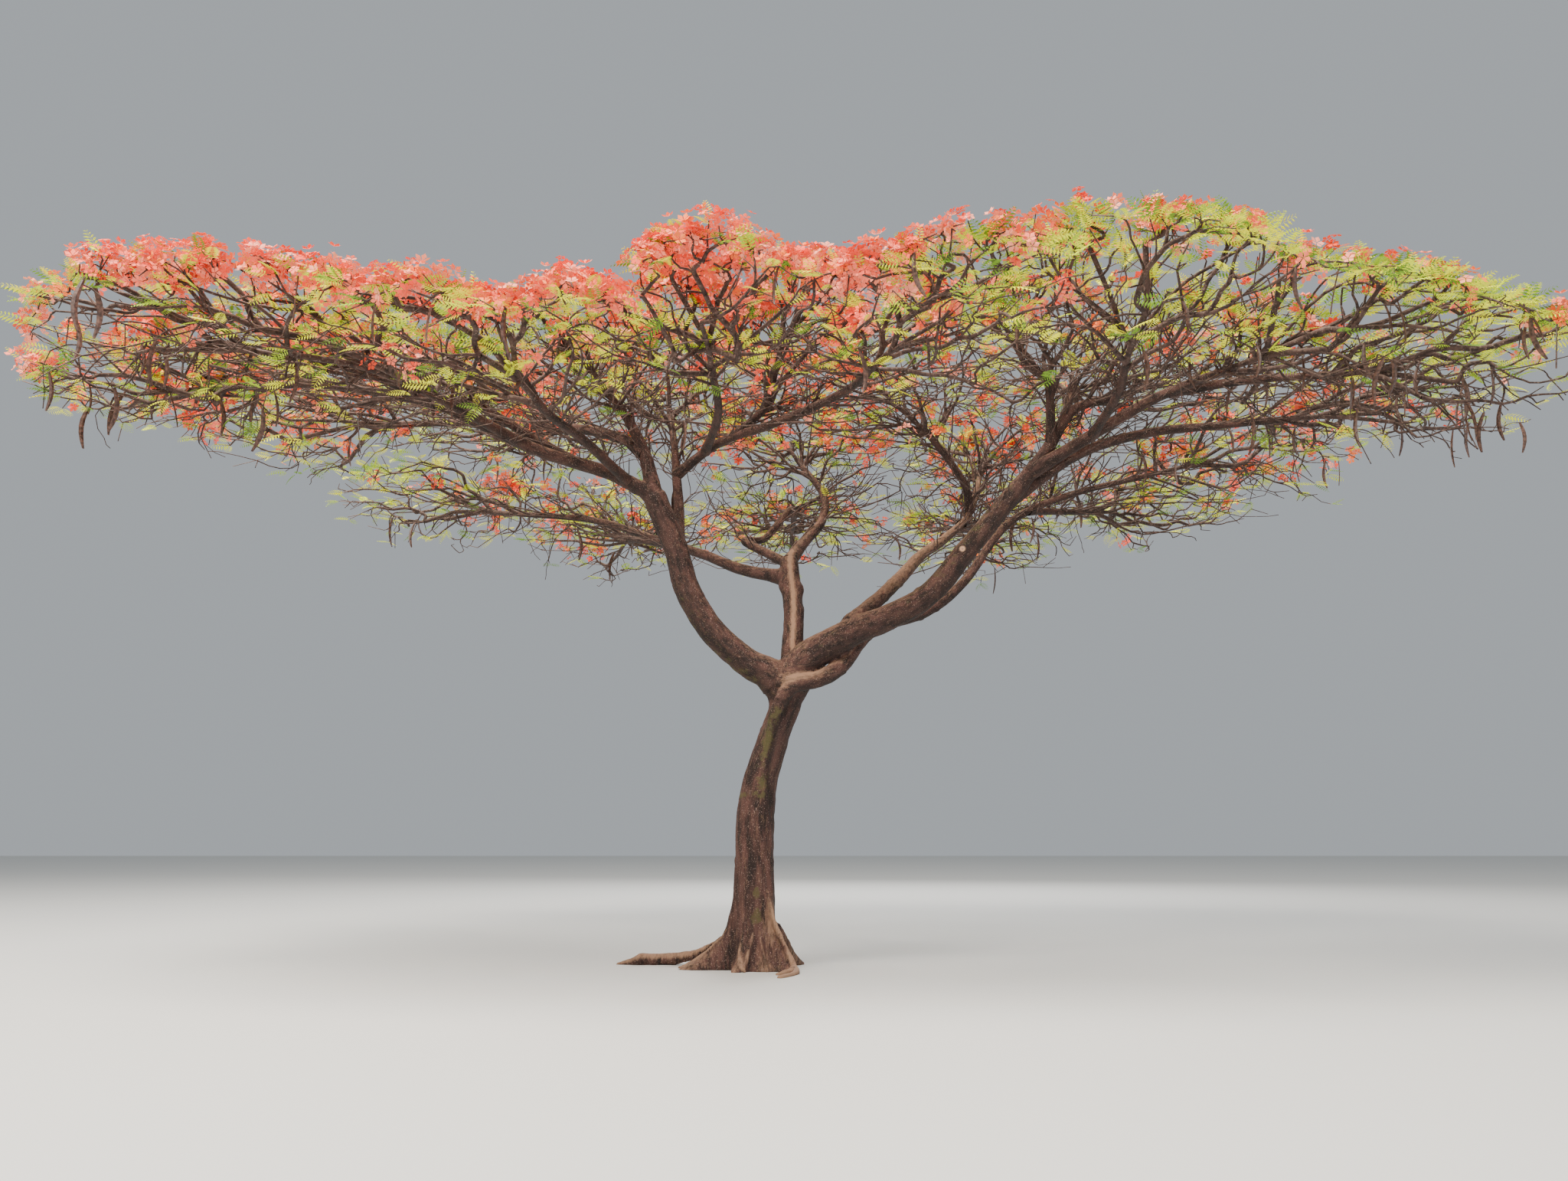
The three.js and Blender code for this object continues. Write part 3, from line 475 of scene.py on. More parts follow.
# The curling limb is worn pale, and lighter where it faces up as a painted highlight
curl = far_from(co, [0.52, -0.25, 3.32], [0.42, 0.30, 0.20])
wear += 0.55 * np.clip(1.3 - curl, 0, 1) * np.clip(normal[:, 2] + 0.3, 0, 1)
left_of_groove = np.exp(-(((x - groove_x + 0.085) / 0.075) ** 2))
ragged = lumps(co, 0.13, 12) + 0.6 * lumps(co, 0.05, 13)
moss = in_groove * left_of_groove * np.clip(0.85 + 0.6 * ragged, 0, 1) * rise(height, 1.9, 0.1)
ring = bell(height, 1.99 + 0.03 * lumps(co, 0.12, 14), 0.045) * rise(-x, -0.12, 0.06)
moss += 0.95 * on_trunk * ring * np.clip(1.0 + 0.5 * ragged, 0, 1)
patch = np.minimum(far_from(co, [0.00, -0.25, 0.86], [0.04, 0.2, 0.06]),
                   far_from(co, [0.01, -0.30, 0.60], [0.07, 0.3, 0.10]))
moss += 0.75 * np.clip(1.4 - patch + 0.5 * ragged, 0, 1)
moss += 0.45 * (guide_name == "right_bough") * np.clip(0.25 - normal[:, 0], 0, 1)
moss += 0.60 * (guide_name == "left_bough") * np.clip(-normal[:, 2] - 0.05, 0, 1) * (height < 4.6)
# Painted shade: darker flanks and undersides above 3 m, a darker groove and trunk right of it, and a darker
# band of trunk under the crown
damp = 1.3 * np.clip(0.25 - normal[:, 2], 0, 1) * (height > 3.0)
damp += 0.9 * groove + 0.40 * in_groove * (x > groove_x)
damp += 0.25 * on_trunk * bell(height, 2.8, 0.5)
cut = 1.25 - from_scar / 0.042


def mark(mesh, name, numbers):
    """Gives each vertex a number, or a row of three, that a material reads by name."""
    kind, key = ("FLOAT_VECTOR", "vector") if numbers.ndim == 2 else ("FLOAT", "value")
    mesh.attributes.new(name, kind, "POINT").data.foreach_set(key, numbers.astype(np.float32).ravel())


# The bark's streaks are drawn out along the limb, five times on the trunk and two and a half on boughs
mark(skin, "along_grain", np.column_stack([across, np.where(on_trunk, 0.2, 0.4) * along]))
for name, numbers in [("wear", wear), ("moss", moss), ("damp", damp), ("cut", cut)]:
    mark(skin, name, np.clip(numbers, 0, 1))


def linear(code, alpha=1.0):
    """A linear colour from its sRGB hex code."""
    parts = [int(code[i:i + 2], 16) / 255 for i in (1, 3, 5)]
    return (*[c / 12.92 if c <= 0.04045 else ((c + 0.055) / 1.055) ** 2.4 for c in parts], alpha)


def add(material, kind, links=None, ramp=(), **settings):
    """A node in a material: settings and input values by name, links to sockets, and a ramp's colours."""
    node = material.node_tree.nodes.new(kind)
    for key, value in settings.items():
        setattr(node, key, value)
    for stop, (position, code) in enumerate(ramp):
        node.color_ramp.elements[stop].position = position
        node.color_ramp.elements[stop].color = linear(code)
    for key, value in (links or {}).items():
        socket = node.inputs[key]
        if isinstance(value, bpy.types.NodeSocket):
            material.node_tree.links.new(value, socket)
        else:
            socket.default_value = value
    return node


def new_material(name, roughness, base=None):
    """A material with its shader: the base colour in hex if it is plain."""
    material = bpy.data.materials.new(name)
    material.use_nodes = True
    shader = material.node_tree.nodes["Principled BSDF"]
    shader.inputs["Roughness"].default_value = roughness
    if base:
        shader.inputs["Base Color"].default_value = linear(base)
        material.diffuse_color = linear(base)
    return material, shader


def join(material, shader, **sockets):
    """Links that end on a material's shader: spaces in a socket's name are written as underscores."""
    for name, value in sockets.items():
        material.node_tree.links.new(value, shader.inputs[name.replace("_", " ")])


def shade_bark(name, hues, wear_and_highlight_share, moss_share, pore_mm, grained=False):
    """Thin smooth bark: brown cork skin in two hues, pale where it is rubbed and stretched and where a
    highlight is painted on, dotted with pale pores, darker where shade is painted on, olive where moss
    grows, and bare heartwood where it is cut. It is matt, and its fine wrinkles break up the light. On
    thick wood its streaks follow the limb."""
    material, shader = new_material(name, 0.88)
    place = add(material, "ShaderNodeTexCoord").outputs["Object"]
    drawn_out = place
    if grained:
        drawn_out = add(material, "ShaderNodeAttribute", attribute_name="along_grain").outputs["Vector"]
    broad, grain, pores, tufts = [
        add(material, "ShaderNodeTexNoise",
            {"Vector": where, "Scale": 1 / size, "Detail": detail, "Roughness": rough}).outputs["Fac"]
        for where, size, detail, rough in [(drawn_out, 0.10, 7.0, 0.68), (drawn_out, 0.030, 5.0, 0.7),
                                           (place, pore_mm / 1000, 2.0, 0.5), (place, 0.09, 8.0, 0.8)]]
    colour = add(material, "ShaderNodeValToRGB", {"Fac": broad}, [(0.42, hues[0]), (0.60, hues[1])])
    cut = add(material, "ShaderNodeAttribute", attribute_name="cut").outputs["Fac"]
    heartwood = add(material, "ShaderNodeValToRGB", {"Fac": cut}, [(0.50, "#c9a283"), (0.80, "#6b3a20")])
    colour = colour.outputs["Color"]
    # Layers on the skin: the attribute that places each and its weight, the noise that breaks it up, where
    # it starts and is full, its greatest share, and its colour
    # The first layer is worn bark and painted highlight, and the third is painted shade
    for where, weight, broken, start, full, share, tint in [
            ("wear", 0.62, grain, 0.56, 0.98, wear_and_highlight_share, linear(hues[2])),
            ("wear", 0.0, pores, 0.62, 0.68, 0.75, linear(hues[3])),
            ("damp", 0.62, 0.0, 0.0, 1.0, 1.0, linear(hues[4])),
            ("moss", 0.30, tufts, 0.62, 0.74, moss_share, linear("#55512a")),
            ("cut", 1.0, 0.0, 0.1, 0.4, 1.0, heartwood.outputs["Color"])]:
        placed = add(material, "ShaderNodeAttribute", attribute_name=where)
        amount = add(material, "ShaderNodeMath", {0: placed.outputs["Fac"], 1: weight, 2: broken},
                     operation="MULTIPLY_ADD")
        faded = add(material, "ShaderNodeMapRange", {"Value": amount.outputs["Value"], "From Min": start,
                                                     "From Max": full, "To Max": share})
        colour = add(material, "ShaderNodeMix", {"Factor": faded.outputs["Result"], 6: colour, 7: tint},
                     data_type="RGBA").outputs[2]
    uneven = add(material, "ShaderNodeMapRange", {"Value": grain, "To Min": 0.74, "To Max": 0.98})
    coarse = add(material, "ShaderNodeBump", {"Height": grain, "Strength": 0.6, "Distance": 0.008})
    fine = add(material, "ShaderNodeBump", {"Height": pores, "Strength": 0.5, "Distance": 0.003,
                                            "Normal": coarse.outputs["Normal"]})
    join(material, shader, Base_Color=colour, Roughness=uneven.outputs["Result"],
         Normal=fine.outputs["Normal"])
    return material


# Hues: dark and mid brown, a pale for worn bark and painted highlight, pale pores, and a near-black painted
# shade
bark = shade_bark("smooth_cork_bark", ["#21120d", "#593a32", "#a98468", "#a08578", "#150c0a"],
                  wear_and_highlight_share=0.9, moss_share=0.68, pore_mm=12, grained=True)
skin.materials.clear()
skin.materials.append(bark)
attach(wood, "root")
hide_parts("trunk", *THICK_LIMBS)


# Feeding boughs: the limbs under 10 cm thick. They are the same grown wood under the same bark, and each
# swells into a collar where it leaves its parent.
SIDE_CORNERS = 14
side_names = [name for name in limbs if name != "trunk" and name not in THICK_LIMBS]
side_vertices, side_faces, side_grain, first = [], [], [], 0
for name in side_names:
    vertices, faces, count, normals, across, along, radius = limb_tube(limbs[name], SIDE_CORNERS, 0.055)
    vertices = vertices + normals * bark_relief(across, along + len(name), radius)[:, None]
    side_vertices.append(vertices)
    side_grain.append(np.column_stack([across, 0.4 * along]))
    side_faces += (faces + first).tolist()
    side_faces.append([first + (count - 1) * SIDE_CORNERS + i for i in range(SIDE_CORNERS)])
    first += len(vertices)
side_wood = make_mesh("side_boughs", np.vstack(side_vertices), side_faces)
side_wood.data.materials.append(bark)
side_normal = numbers_of(side_wood.data.vertex_normals, "vector", 3)
mark(side_wood.data, "along_grain", np.vstack(side_grain))
# Painted highlight on the upper sides of the feeding boughs, and painted shade on their flanks and undersides
mark(side_wood.data, "wear", 0.52 * np.clip(side_normal[:, 2], 0, 1) ** 2)
mark(side_wood.data, "damp", np.clip(0.15 - side_normal[:, 2], 0, 1))
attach(side_wood, "root")
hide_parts(*side_names)


# Twigs: thin wood that branches from each bough's tip by the source's rule, with the same seeds, and is
# carried on to finer twigs inside the same space. They are smooth, grey-brown, and bend outwards.

# The source's sizes: air between masses and round limbs, leaf sprays, flower heads, how far these may stand
# out of their mass, the turns that a spray tries, and what a bend and a long way home cost its stem
CELL_MARGIN = 0.012
LIMB_AIR = 0.030
SPRAY_LENGTH, SPRAY_WIDTH, SPRAY_SUNK = 0.920, 0.400, 0.012
HEAD_RADIUS, HEAD_HEIGHT, HEAD_SUNK = 0.310, 0.230, 0.040
RIM_STRETCH = 1.12
SPRAY_TURNS = [0, 0.6, -0.6, 1.2, -1.2]
STEM_COSTS = (0.6, 0.55)
LIMB_STEPS = 40
hearts = np.array([mass["heart"] for mass in masses])
stations = []
for name, limb in limbs.items():
    for k in range(LIMB_STEPS + 1):
        share = k / LIMB_STEPS
        radius = limb["thick"] + (limb["thin"] - limb["thick"]) * k / LIMB_STEPS
        stations.append((name, share, point_on(limb["line"], share), radius))
station_at = np.array([row[2] for row in stations])
station_radius = np.array([row[3] for row in stations])


def seeded_run(seed):
    """A repeatable run of numbers from 0 to 1."""
    state = seed * 7919 + 17
    while True:
        state = (state * 48271) % 2147483647
        yield state / 2147483647


def in_space(mass, points, stretch=1.0):
    """True for each point in the mass's ellipsoid that is nearer its heart than any other's."""
    away = np.atleast_2d(points) - mass["heart"]
    inside = np.linalg.norm(away / mass["size"], axis=1) <= stretch
    between = hearts - mass["heart"]
    length = np.linalg.norm(between, axis=1)
    for way, far in zip(between[length > 0], length[length > 0]):
        inside &= away @ way / far < far / 2 - CELL_MARGIN
    return inside


def to_segment(points, start, end):
    """How far each point is from a straight run."""
    run = end - start
    share = np.clip((np.atleast_2d(points) - start) @ run / np.dot(run, run), 0, 1)
    return np.linalg.norm(np.atleast_2d(points) - start - share[:, None] * run, axis=1)


def clear_of_limbs(mass, start, end, radius):
    """True if a rod of this radius stays off every limb, its own bough's tip apart."""
    gap = to_segment(station_at, start, end) - station_radius - radius
    return bool(np.all((gap > LIMB_AIR) | mass["own_tip"]))


def turned(vector, angle):
    """A vector turned about the upright by an angle."""
    c, s = math.cos(angle), math.sin(angle)
    return np.array([c * vector[0] - s * vector[1], s * vector[0] + c * vector[1], vector[2]])


def is_free(mass, thing, corners, things):
    """True if a flower head or leaf spray keeps to its space and stays clear of limbs and of the others."""
    if not in_space(mass, corners, RIM_STRETCH).all():
        return False
    spots = [thing["root"] + (thing["end"] - thing["root"]) * share for share in (0, 0.5, 1)]
    for other in things:
        air = 0.8 * (thing["half"] + other["half"])
        if not (to_segment(np.array(spots), other["root"], other["end"]) > air).all():
            return False
    return clear_of_limbs(mass, thing["root"], thing["end"], thing["half"] * 0.5)


def dress_space(mass, random):
    """Places for a mass's flower heads and leaf sprays, taken at random as long as they fit."""
    things = []
    for _ in range(500):
        if len(things) >= mass["tips"]:
            break
        turn, out = 2 * math.pi * next(random), 0.92 * math.sqrt(next(random))
        lift = (0.15 + 0.7 * next(random)) * math.sqrt(1 - out * out)
        flowers, sway = next(random) < mass["flowers"], next(random) - 0.5
        reach = mass["spread"] * out * np.array([math.cos(turn), math.sin(turn), 0])
        root = mass["heart"] + reach + mass["depth"] * lift * UP
        if flowers:
            size = 1 + 0.3 * sway
            phi = np.arange(5) * 2 * math.pi / 5
            spin = 1000 * (root[0] + root[1])
            rim = np.column_stack([np.sin(phi), -np.cos(phi)]) * HEAD_RADIUS * size
            c, s = math.cos(spin), math.sin(spin)
            rim = np.column_stack([rim @ [c, -s], rim @ [s, c], np.full(5, 0.6 * HEAD_HEIGHT)])
            corners = np.vstack([rim, [[0, 0, 0], [0, 0, HEAD_HEIGHT]]]) + root - HEAD_SUNK * UP
            thing = {"flowers": True, "root": root, "end": root + 0.09 * UP, "size": size,
                     "half": 0.75 * HEAD_RADIUS * size}
            if is_free(mass, thing, corners, things):
                things.append(thing)
            continue
        root = root - 0.3 * reach
        for veer in SPRAY_TURNS:
            heading = unit(turned(reach, sway + veer))
            heading = unit(np.array([heading[0], heading[1], 0.08]))
            side = unit(np.cross(UP, heading))
            middle = root + heading * (SPRAY_LENGTH / 2 - SPRAY_SUNK)
            corners = np.array([root - heading * SPRAY_SUNK, root + heading * (SPRAY_LENGTH - SPRAY_SUNK),
                                middle + side * SPRAY_WIDTH / 2, middle - side * SPRAY_WIDTH / 2])
            thing = {"flowers": False, "root": root, "end": root + heading * SPRAY_LENGTH,
                     "heading": heading, "side": side, "half": 0.3 * SPRAY_WIDTH}
            if is_free(mass, thing, corners, things):
                things.append(thing)
                break
    return things


class Growth:
    """The twigs of one mass as nodes, each with its place, parent, way back to the bough and heading."""

    def __init__(self):
        self.at, self.heading, self.way, self.parent, self.tips = [], [], [], [], []

    def put(self, at, heading, way=0.0, parent=-1):
        """A new node, on the bough itself unless it is given a parent."""
        self.at.append(at)
        self.heading.append(heading)
        self.way.append(way)
        self.parent.append(parent)
        self.tips.append(0)
        return len(self.at) - 1

    def add(self, at, parent):
        """A new node joined to its parent."""
        step = at - self.at[parent]
        length = np.linalg.norm(step)
        return self.put(at, step / max(length, 1e-6), self.way[parent] + length, parent)

    def offers(self, at, straightness, shortness):
        """The nodes that could carry a twig to a place, cheapest first: short, straight and near home."""
        step = at - np.array(self.at[1:])
        length = np.maximum(np.linalg.norm(step, axis=1), 1e-6)
        bend = 1 - (step * np.array(self.heading[1:])).sum(1) / length
        cost = length * (1 + straightness * bend) + shortness * np.array(self.way[1:])
        return np.argsort(cost)[:4] + 1


# How far stems keep below the skyline, and their radius with its air. Then the side branches' share of a
# bough and longest stretch, how far out and up the long branches cross and the thinnest limb they leave, and
# a runner's stride
STEM_BELOW, STEM_ROOM = 0.30, 0.018
SIDE_SHARE, SIDE_STRETCH = 0.72, 3.4
CROSS_OUT, CROSS_UP, CROSS_PARENT = (1.0, 3.8), (-0.2, 1.9), 0.045
RUNNER_STRIDE = 0.28
# Radii of the finer twigs: at a tip, how they grow with the tips beyond, and the thickest. Then the tips in a
# flower head, in a leaf spray, in the top and low parts of a mass and at its front rim, the gap between side
# branches, the runners in a mass, what a bend and a long way home cost a fine twig, and the length from
# which it is bowed
TWIG_TIP, TWIG_GROWTH, TWIG_THICKEST = 0.0058, 0.43, 0.032
HEAD_TIPS, SPRAY_TIPS, UPPER_TIPS, LOWER_TIPS, RIM_TIPS = 13, 6, 72, 100, 46
SIDE_SPACING, RUNNERS = 0.11, 11
FINE_COSTS = (0.9, 0.28)
BOWED_LENGTH = 0.32
# The crown's upper edge as the photo shows it from the front: how far across and how far up for each metre
# of distance, from the left to the right. Its left end is the first pair. Its underside is one slope.
SKYLINE = np.array([
    [-0.700, 0.500], [-0.655, 0.511], [-0.645, 0.540], [-0.592, 0.544], [-0.507, 0.545], [-0.480, 0.526],
    [-0.420, 0.526], [-0.394, 0.508], [-0.327, 0.512], [-0.263, 0.489], [-0.231, 0.493], [-0.204, 0.515],
    [-0.172, 0.504], [-0.147, 0.489], [-0.129, 0.540], [-0.088, 0.566], [-0.038, 0.562], [-0.010, 0.529],
    [0.061, 0.531], [0.111, 0.540], [0.154, 0.570], [0.190, 0.566], [0.230, 0.585], [0.269, 0.590],
    [0.326, 0.588], [0.383, 0.577], [0.425, 0.570], [0.479, 0.538], [0.521, 0.535], [0.584, 0.522],
    [0.645, 0.504], [0.717, 0.476]])
UNDERSIDE = 0.287
SEEN_FROM = np.array([0.33, -14.2, 1.5])
BOX_LOW, BOX_HIGH = np.array(cad_box[0]) + 0.04, np.array(cad_box[1]) - 0.04


def in_box(at):
    """True for a place inside the solids' box."""
    return bool(((at > BOX_LOW) & (at < BOX_HIGH)).all())


def bearing_of(at):
    """How far across a place is seen from the front for each metre of distance, and that distance."""
    distance = at[1] - SEEN_FROM[1]
    return (at[0] - SEEN_FROM[0]) / distance, distance


def under_skyline(at, sunk):
    """The place, lowered by what it stands too high in front view, and by this much more."""
    bearing, distance = bearing_of(at)
    slope = np.interp(bearing, SKYLINE[:, 0], SKYLINE[:, 1])
    return np.array([at[0], at[1], min(at[2], SEEN_FROM[2] + distance * slope - sunk)])


def shown_share(at, ending, behind):
    """The share of flowers or leaves that stay at a place, and what most others turn into. The photo shows
    both by where each is seen from the front. Flowers crowd the left and middle tops. They are fewer on the
    right, and few in the layer of bare branches under the left part's top layer. The right part is leafy
    at its top alone, and the left end has one gap."""
    bearing, distance = bearing_of(at)
    slope = (at[2] - SEEN_FROM[2]) / distance
    below = distance * (np.interp(bearing, SKYLINE[:, 0], SKYLINE[:, 1]) - slope)
    if not behind and abs(bearing + 0.638) < 0.032 and abs(slope - 0.476) < 0.015:
        return 0.0, "bare"
    if ending == "leaf":
        left_top = -0.62 < bearing < -0.46 and below < 0.5
        middle_top = -0.09 < bearing < 0.10 and below < 0.9
        if (left_top or middle_top) and not behind:
            return 0.45, "flower"
        return np.interp(below, [0.9, 1.5], [1.0, 0.35]) if bearing > 0.1 and not behind else 1.0, "bare"
    if behind:
        share = np.interp(bearing, [-0.31, -0.25, -0.19, -0.16, -0.09, -0.05, 0.50, 0.55],
                          [0.1, 1.0, 1.0, 0.4, 0.4, 1.0, 1.0, 0.4])
        share *= 0.45 if bearing < -0.14 and slope > 0.315 else 1
        share *= 0.4 if bearing > 0.4 and slope > 0.35 else 1
    elif 0.10 < bearing < 0.36 and below < 0.35:
        share = 0.8
    elif bearing < -0.62 and 0.455 < slope < 0.51:
        share = 0.5
    elif bearing < -0.15 and 0.38 < below < 0.80:
        share = 0.35
    elif bearing < -0.54 and slope < 0.43:
        share = 0.4
    else:
        share = np.interp(bearing, [0.06, 0.12, 0.19, 0.27, 0.40, 0.48, 0.56],
                          [1.0, 0.6, 0.3, 0.35, 0.4, 0.7, 0.3])
    if bearing > 0.5 and 0.37 < slope < 0.44:
        share *= 0.5
    return share * (0.3 if slope < 0.31 and -0.1 < bearing < 0.38 else 1), "leaf"


def spot_in(mass, turn, out, lift):
    """A place in a mass by its angle about the upright, and how far out and up in shares of the mass."""
    flat = mass["spread"] * out
    return mass["heart"] + np.array([flat * math.cos(turn), flat * math.sin(turn), mass["depth"] * lift])


def beside(rng, at, way, veer, reach, lift):
    """A place beside a twig: turned from its way, and off and up by amounts between two bounds."""
    return at + (turned(way, rng.normal(0, veer)) * rng.uniform(*reach) + UP * rng.uniform(*lift))


twig_rows, tips, pod_roots = [], [], []
for number, mass in enumerate(masses):
    heart, spread, depth, bough = mass["heart"], mass["spread"], mass["depth"], mass["bough"]
    mass["own_tip"] = np.array([row[0] == bough and row[1] > 0.9 for row in stations])
    things = dress_space(mass, seeded_run(number + 1))
    line = limbs[bough]["line"]
    arrival = heading_at(line, 1)
    growth = Growth()
    growth.put(mass["inlet"] + 0.0003 * arrival, arrival)
    neck = growth.add(growth.at[0] + arrival * 0.22 * spread, 0)
    growth.add(heart - UP * 0.3 * depth, neck)
    things.sort(key=lambda thing: np.linalg.norm(thing["root"] - growth.at[0]))
    kept = []
    for thing in things:
        thing["root"] = under_skyline(thing["root"], STEM_BELOW)
        for parent in growth.offers(thing["root"], *STEM_COSTS):
            if clear_of_limbs(mass, growth.at[parent], thing["root"], STEM_ROOM):
                growth.add(thing["root"], parent)
                kept.append(thing)
                break

    # Side branches leave the bough by turns to the left and right, bend outwards and rise at their ends
    rng = np.random.default_rng(100 + number)
    wanted = []
    places, headings, _, _, run = stations_along(line, 60)
    reach = min(run[-1] * SIDE_SHARE, SIDE_STRETCH)
    hand = 1
    for far in np.arange(run[-1] - reach, run[-1] - 0.05, SIDE_SPACING):
        k = min(int(np.searchsorted(run, far + rng.uniform(-0.06, 0.06))), len(run) - 1)
        heading = headings[k]
        node = growth.put(places[k], heading)
        hand = -hand
        way = turned(heading, hand * rng.uniform(0.5, 1.05))
        way = unit(way * [1, 1, 0.5] + UP * rng.uniform(-0.18, 0.28))
        stride = rng.uniform(0.24, 0.50)
        for _ in range(int(rng.integers(3, 8))):
            headroom = heart[2] + 0.3 * depth - growth.at[node][2]
            way = unit(way + 0.15 * heading * [1, 1, 0.2] + UP * 0.04 + rng.normal(0, 0.24, 3) * [1, 1, 0.6])
            way[2] = min(way[2], 0.8 * headroom)
            if not in_box(growth.at[node] + way * stride):
                break
            node = growth.add(growth.at[node] + way * stride, node)
            for _ in range(int(rng.integers(1, 3))):
                at = beside(rng, growth.at[node], way, 0.9, (0.15, 0.55), (-0.06, 0.30))
                wanted.append((at, "leaf" if rng.random() < 0.36 else "bare"))

    # Long branches reach the mass from other limbs below it, crossing the open space under the crown. Under
    # the middle of the crown there are more, they run lower, and some carry blossom and leaves of their own
    inner = abs(heart[0]) < 4.5 and heart[1] > -2.0
    foot = heart - UP * (0.9 if inner else 0.45) * depth
    to_foot = foot - station_at
    flat = np.linalg.norm(to_foot[:, :2], axis=1)
    fit = (flat > CROSS_OUT[0]) & (flat < CROSS_OUT[1]) & (station_radius > CROSS_PARENT)
    fit &= (to_foot[:, 2] > CROSS_UP[0]) & (to_foot[:, 2] < CROSS_UP[1])
    fit &= ~np.array([row[0] in (bough, "trunk") for row in stations])
    hung = []
    for k in rng.permutation(np.flatnonzero(fit))[:12 if inner else 4]:
        name, share, start, _ = stations[k]
        heading = heading_at(limbs[name]["line"], share)
        node = growth.put(start, heading)
        end = foot + rng.uniform(-0.7, 0.7, 3) * mass["size"]
        end[2] = max(end[2], SEEN_FROM[2] + UNDERSIDE * (end[1] - SEEN_FROM[1]))
        pull = start + (heading * [1, 1, 0.4] + UP * rng.uniform(-0.1, 0.3)) * flat[k] * 0.35
        pull_end = end - unit((end - start) * [1, 1, 0.2]) * flat[k] * 0.35
        for w in np.linspace(0, 1, 9)[1:]:
            at = ((1 - w) ** 3 * start + 3 * (1 - w) ** 2 * w * pull + 3 * (1 - w) * w * w * pull_end
                  + w**3 * end)
            way = growth.heading[node]
            node = growth.add(at + rng.normal(0, 0.045, 3) * (w < 1), node)
            for _ in range(int(rng.integers(1, 3))):
                at = beside(rng, growth.at[node], way, 0.8, (0.3, 0.9), (-0.12, 0.25))
                ending = "bare"
                if w > 0.4 and rng.random() < 0.42:
                    ending = "flower" if inner and rng.random() < 0.45 else "leaf"
                hung.append((at, ending))

    # Runners: bare wavy branches low in the mass, level, that lead outwards and cross each other
    for _ in range(RUNNERS):
        turn, out = rng.uniform(0, 2 * math.pi), rng.uniform(0, 0.6)
        at = spot_in(mass, turn, out, rng.uniform(-0.9, 0.1))
        node = growth.add(at, int(growth.offers(at, *FINE_COSTS)[0]))
        way_angle = math.atan2(heart[1], heart[0] - 0.4) + rng.normal(0, 0.9)
        for _ in range(int(rng.integers(4, 9))):
            way_angle += rng.normal(0, 0.30)
            way = np.array([math.cos(way_angle), math.sin(way_angle), rng.normal(0.05, 0.16)])
            at = growth.at[node] + way * RUNNER_STRIDE
            if not in_space(mass, at, 1.15)[0] or not in_box(at):
                break
            node = growth.add(at, node)
            for _ in range(int(rng.integers(1, 3))):
                end = beside(rng, at, way, 0.9, (0.12, 0.42), (-0.05, 0.22))
                wanted.append((end, "leaf" if rng.random() < 0.15 else "bare"))

    # Finer tips: a handful in each flower head and along each leaf spray, and others over and under them
    behind = heart[1] > 1.5
    bloom = (1.6 if behind else 1.2) * mass["flowers"] ** 1.3
    for thing in kept:
        for _ in range(HEAD_TIPS if thing["flowers"] else SPRAY_TIPS):
            if thing["flowers"]:
                turn, out = rng.uniform(0, 2 * math.pi), math.sqrt(rng.uniform(0, 1))
                flat = HEAD_RADIUS * thing["size"] * out
                lift = 0.17 * math.sqrt(1 - out * out) + rng.uniform(-0.06, 0.03)
                at = thing["root"] + np.array([flat * math.cos(turn), flat * math.sin(turn), lift])
                wanted.append((at, "flower" if rng.random() < 0.9 else "leaf"))
            else:
                share = rng.uniform(0.1, 1.0)
                wide = rng.uniform(-1, 1) * SPRAY_WIDTH * (0.25 + 0.6 * (1 - abs(2 * share - 1)))
                at = thing["root"] + thing["heading"] * SPRAY_LENGTH * share + thing["side"] * wide
                at = at + UP * rng.uniform(-0.05, 0.05)
                wanted.append((at, "leaf" if rng.random() < 0.8 else "flower"))
    leafy_top = heart[0] > 2.5 and heart[1] < 0
    high = int(UPPER_TIPS * (2.1 if leafy_top else 1))
    for k in range(high + int(LOWER_TIPS * UPPER_TIPS / high)):
        turn, out = rng.uniform(0, 2 * math.pi), math.sqrt(rng.uniform(0.02, 1))
        upper = k < high
        lift = rng.uniform(0.70 if leafy_top else 0.5, 1.03) if upper else rng.uniform(-0.6, 0.5)
        at = spot_in(mass, turn, out, lift * (1 - 0.9 * out * out) ** (0.3 if leafy_top and upper else 0.5))
        ending = "flower" if rng.random() < (bloom if upper else 0.4 * mass["flowers"]) else "leaf"
        wanted.append((at, ending if upper or rng.random() < 0.38 else "bare"))
    for _ in range(RIM_TIPS if heart[1] < -2.5 else 0):
        turn, out = rng.uniform(-2.7, -0.45), rng.uniform(0.70, 1.0)
        at = spot_in(mass, turn, out, rng.uniform(-0.15, 0.95) * math.sqrt(1 - 0.9 * out * out))
        wanted.append((at, "flower" if rng.random() < bloom + 0.1 else "leaf"))
    inside = in_space(mass, np.array([at for at, _ in wanted]), RIM_STRETCH if leafy_top else 1.05)
    ceiling = heart[2] + 0.8 * depth
    wanted = [row for row, ok in zip(wanted, inside) if ok or row[1] == "bare" and row[0][2] < ceiling]
    wanted = [(under_skyline(at, rng.uniform(0.04, 0.20) + 0.06 * (ending != "flower")), ending)
              for at, ending in wanted + hung if in_box(at)]
    wanted = [row for row in wanted if bearing_of(row[0])[0] > SKYLINE[0, 0] + 0.008]
    for k, (at, ending) in enumerate(wanted):
        if ending == "bare":
            continue
        share, instead = shown_share(at, ending, behind)
        if rng.random() > share:
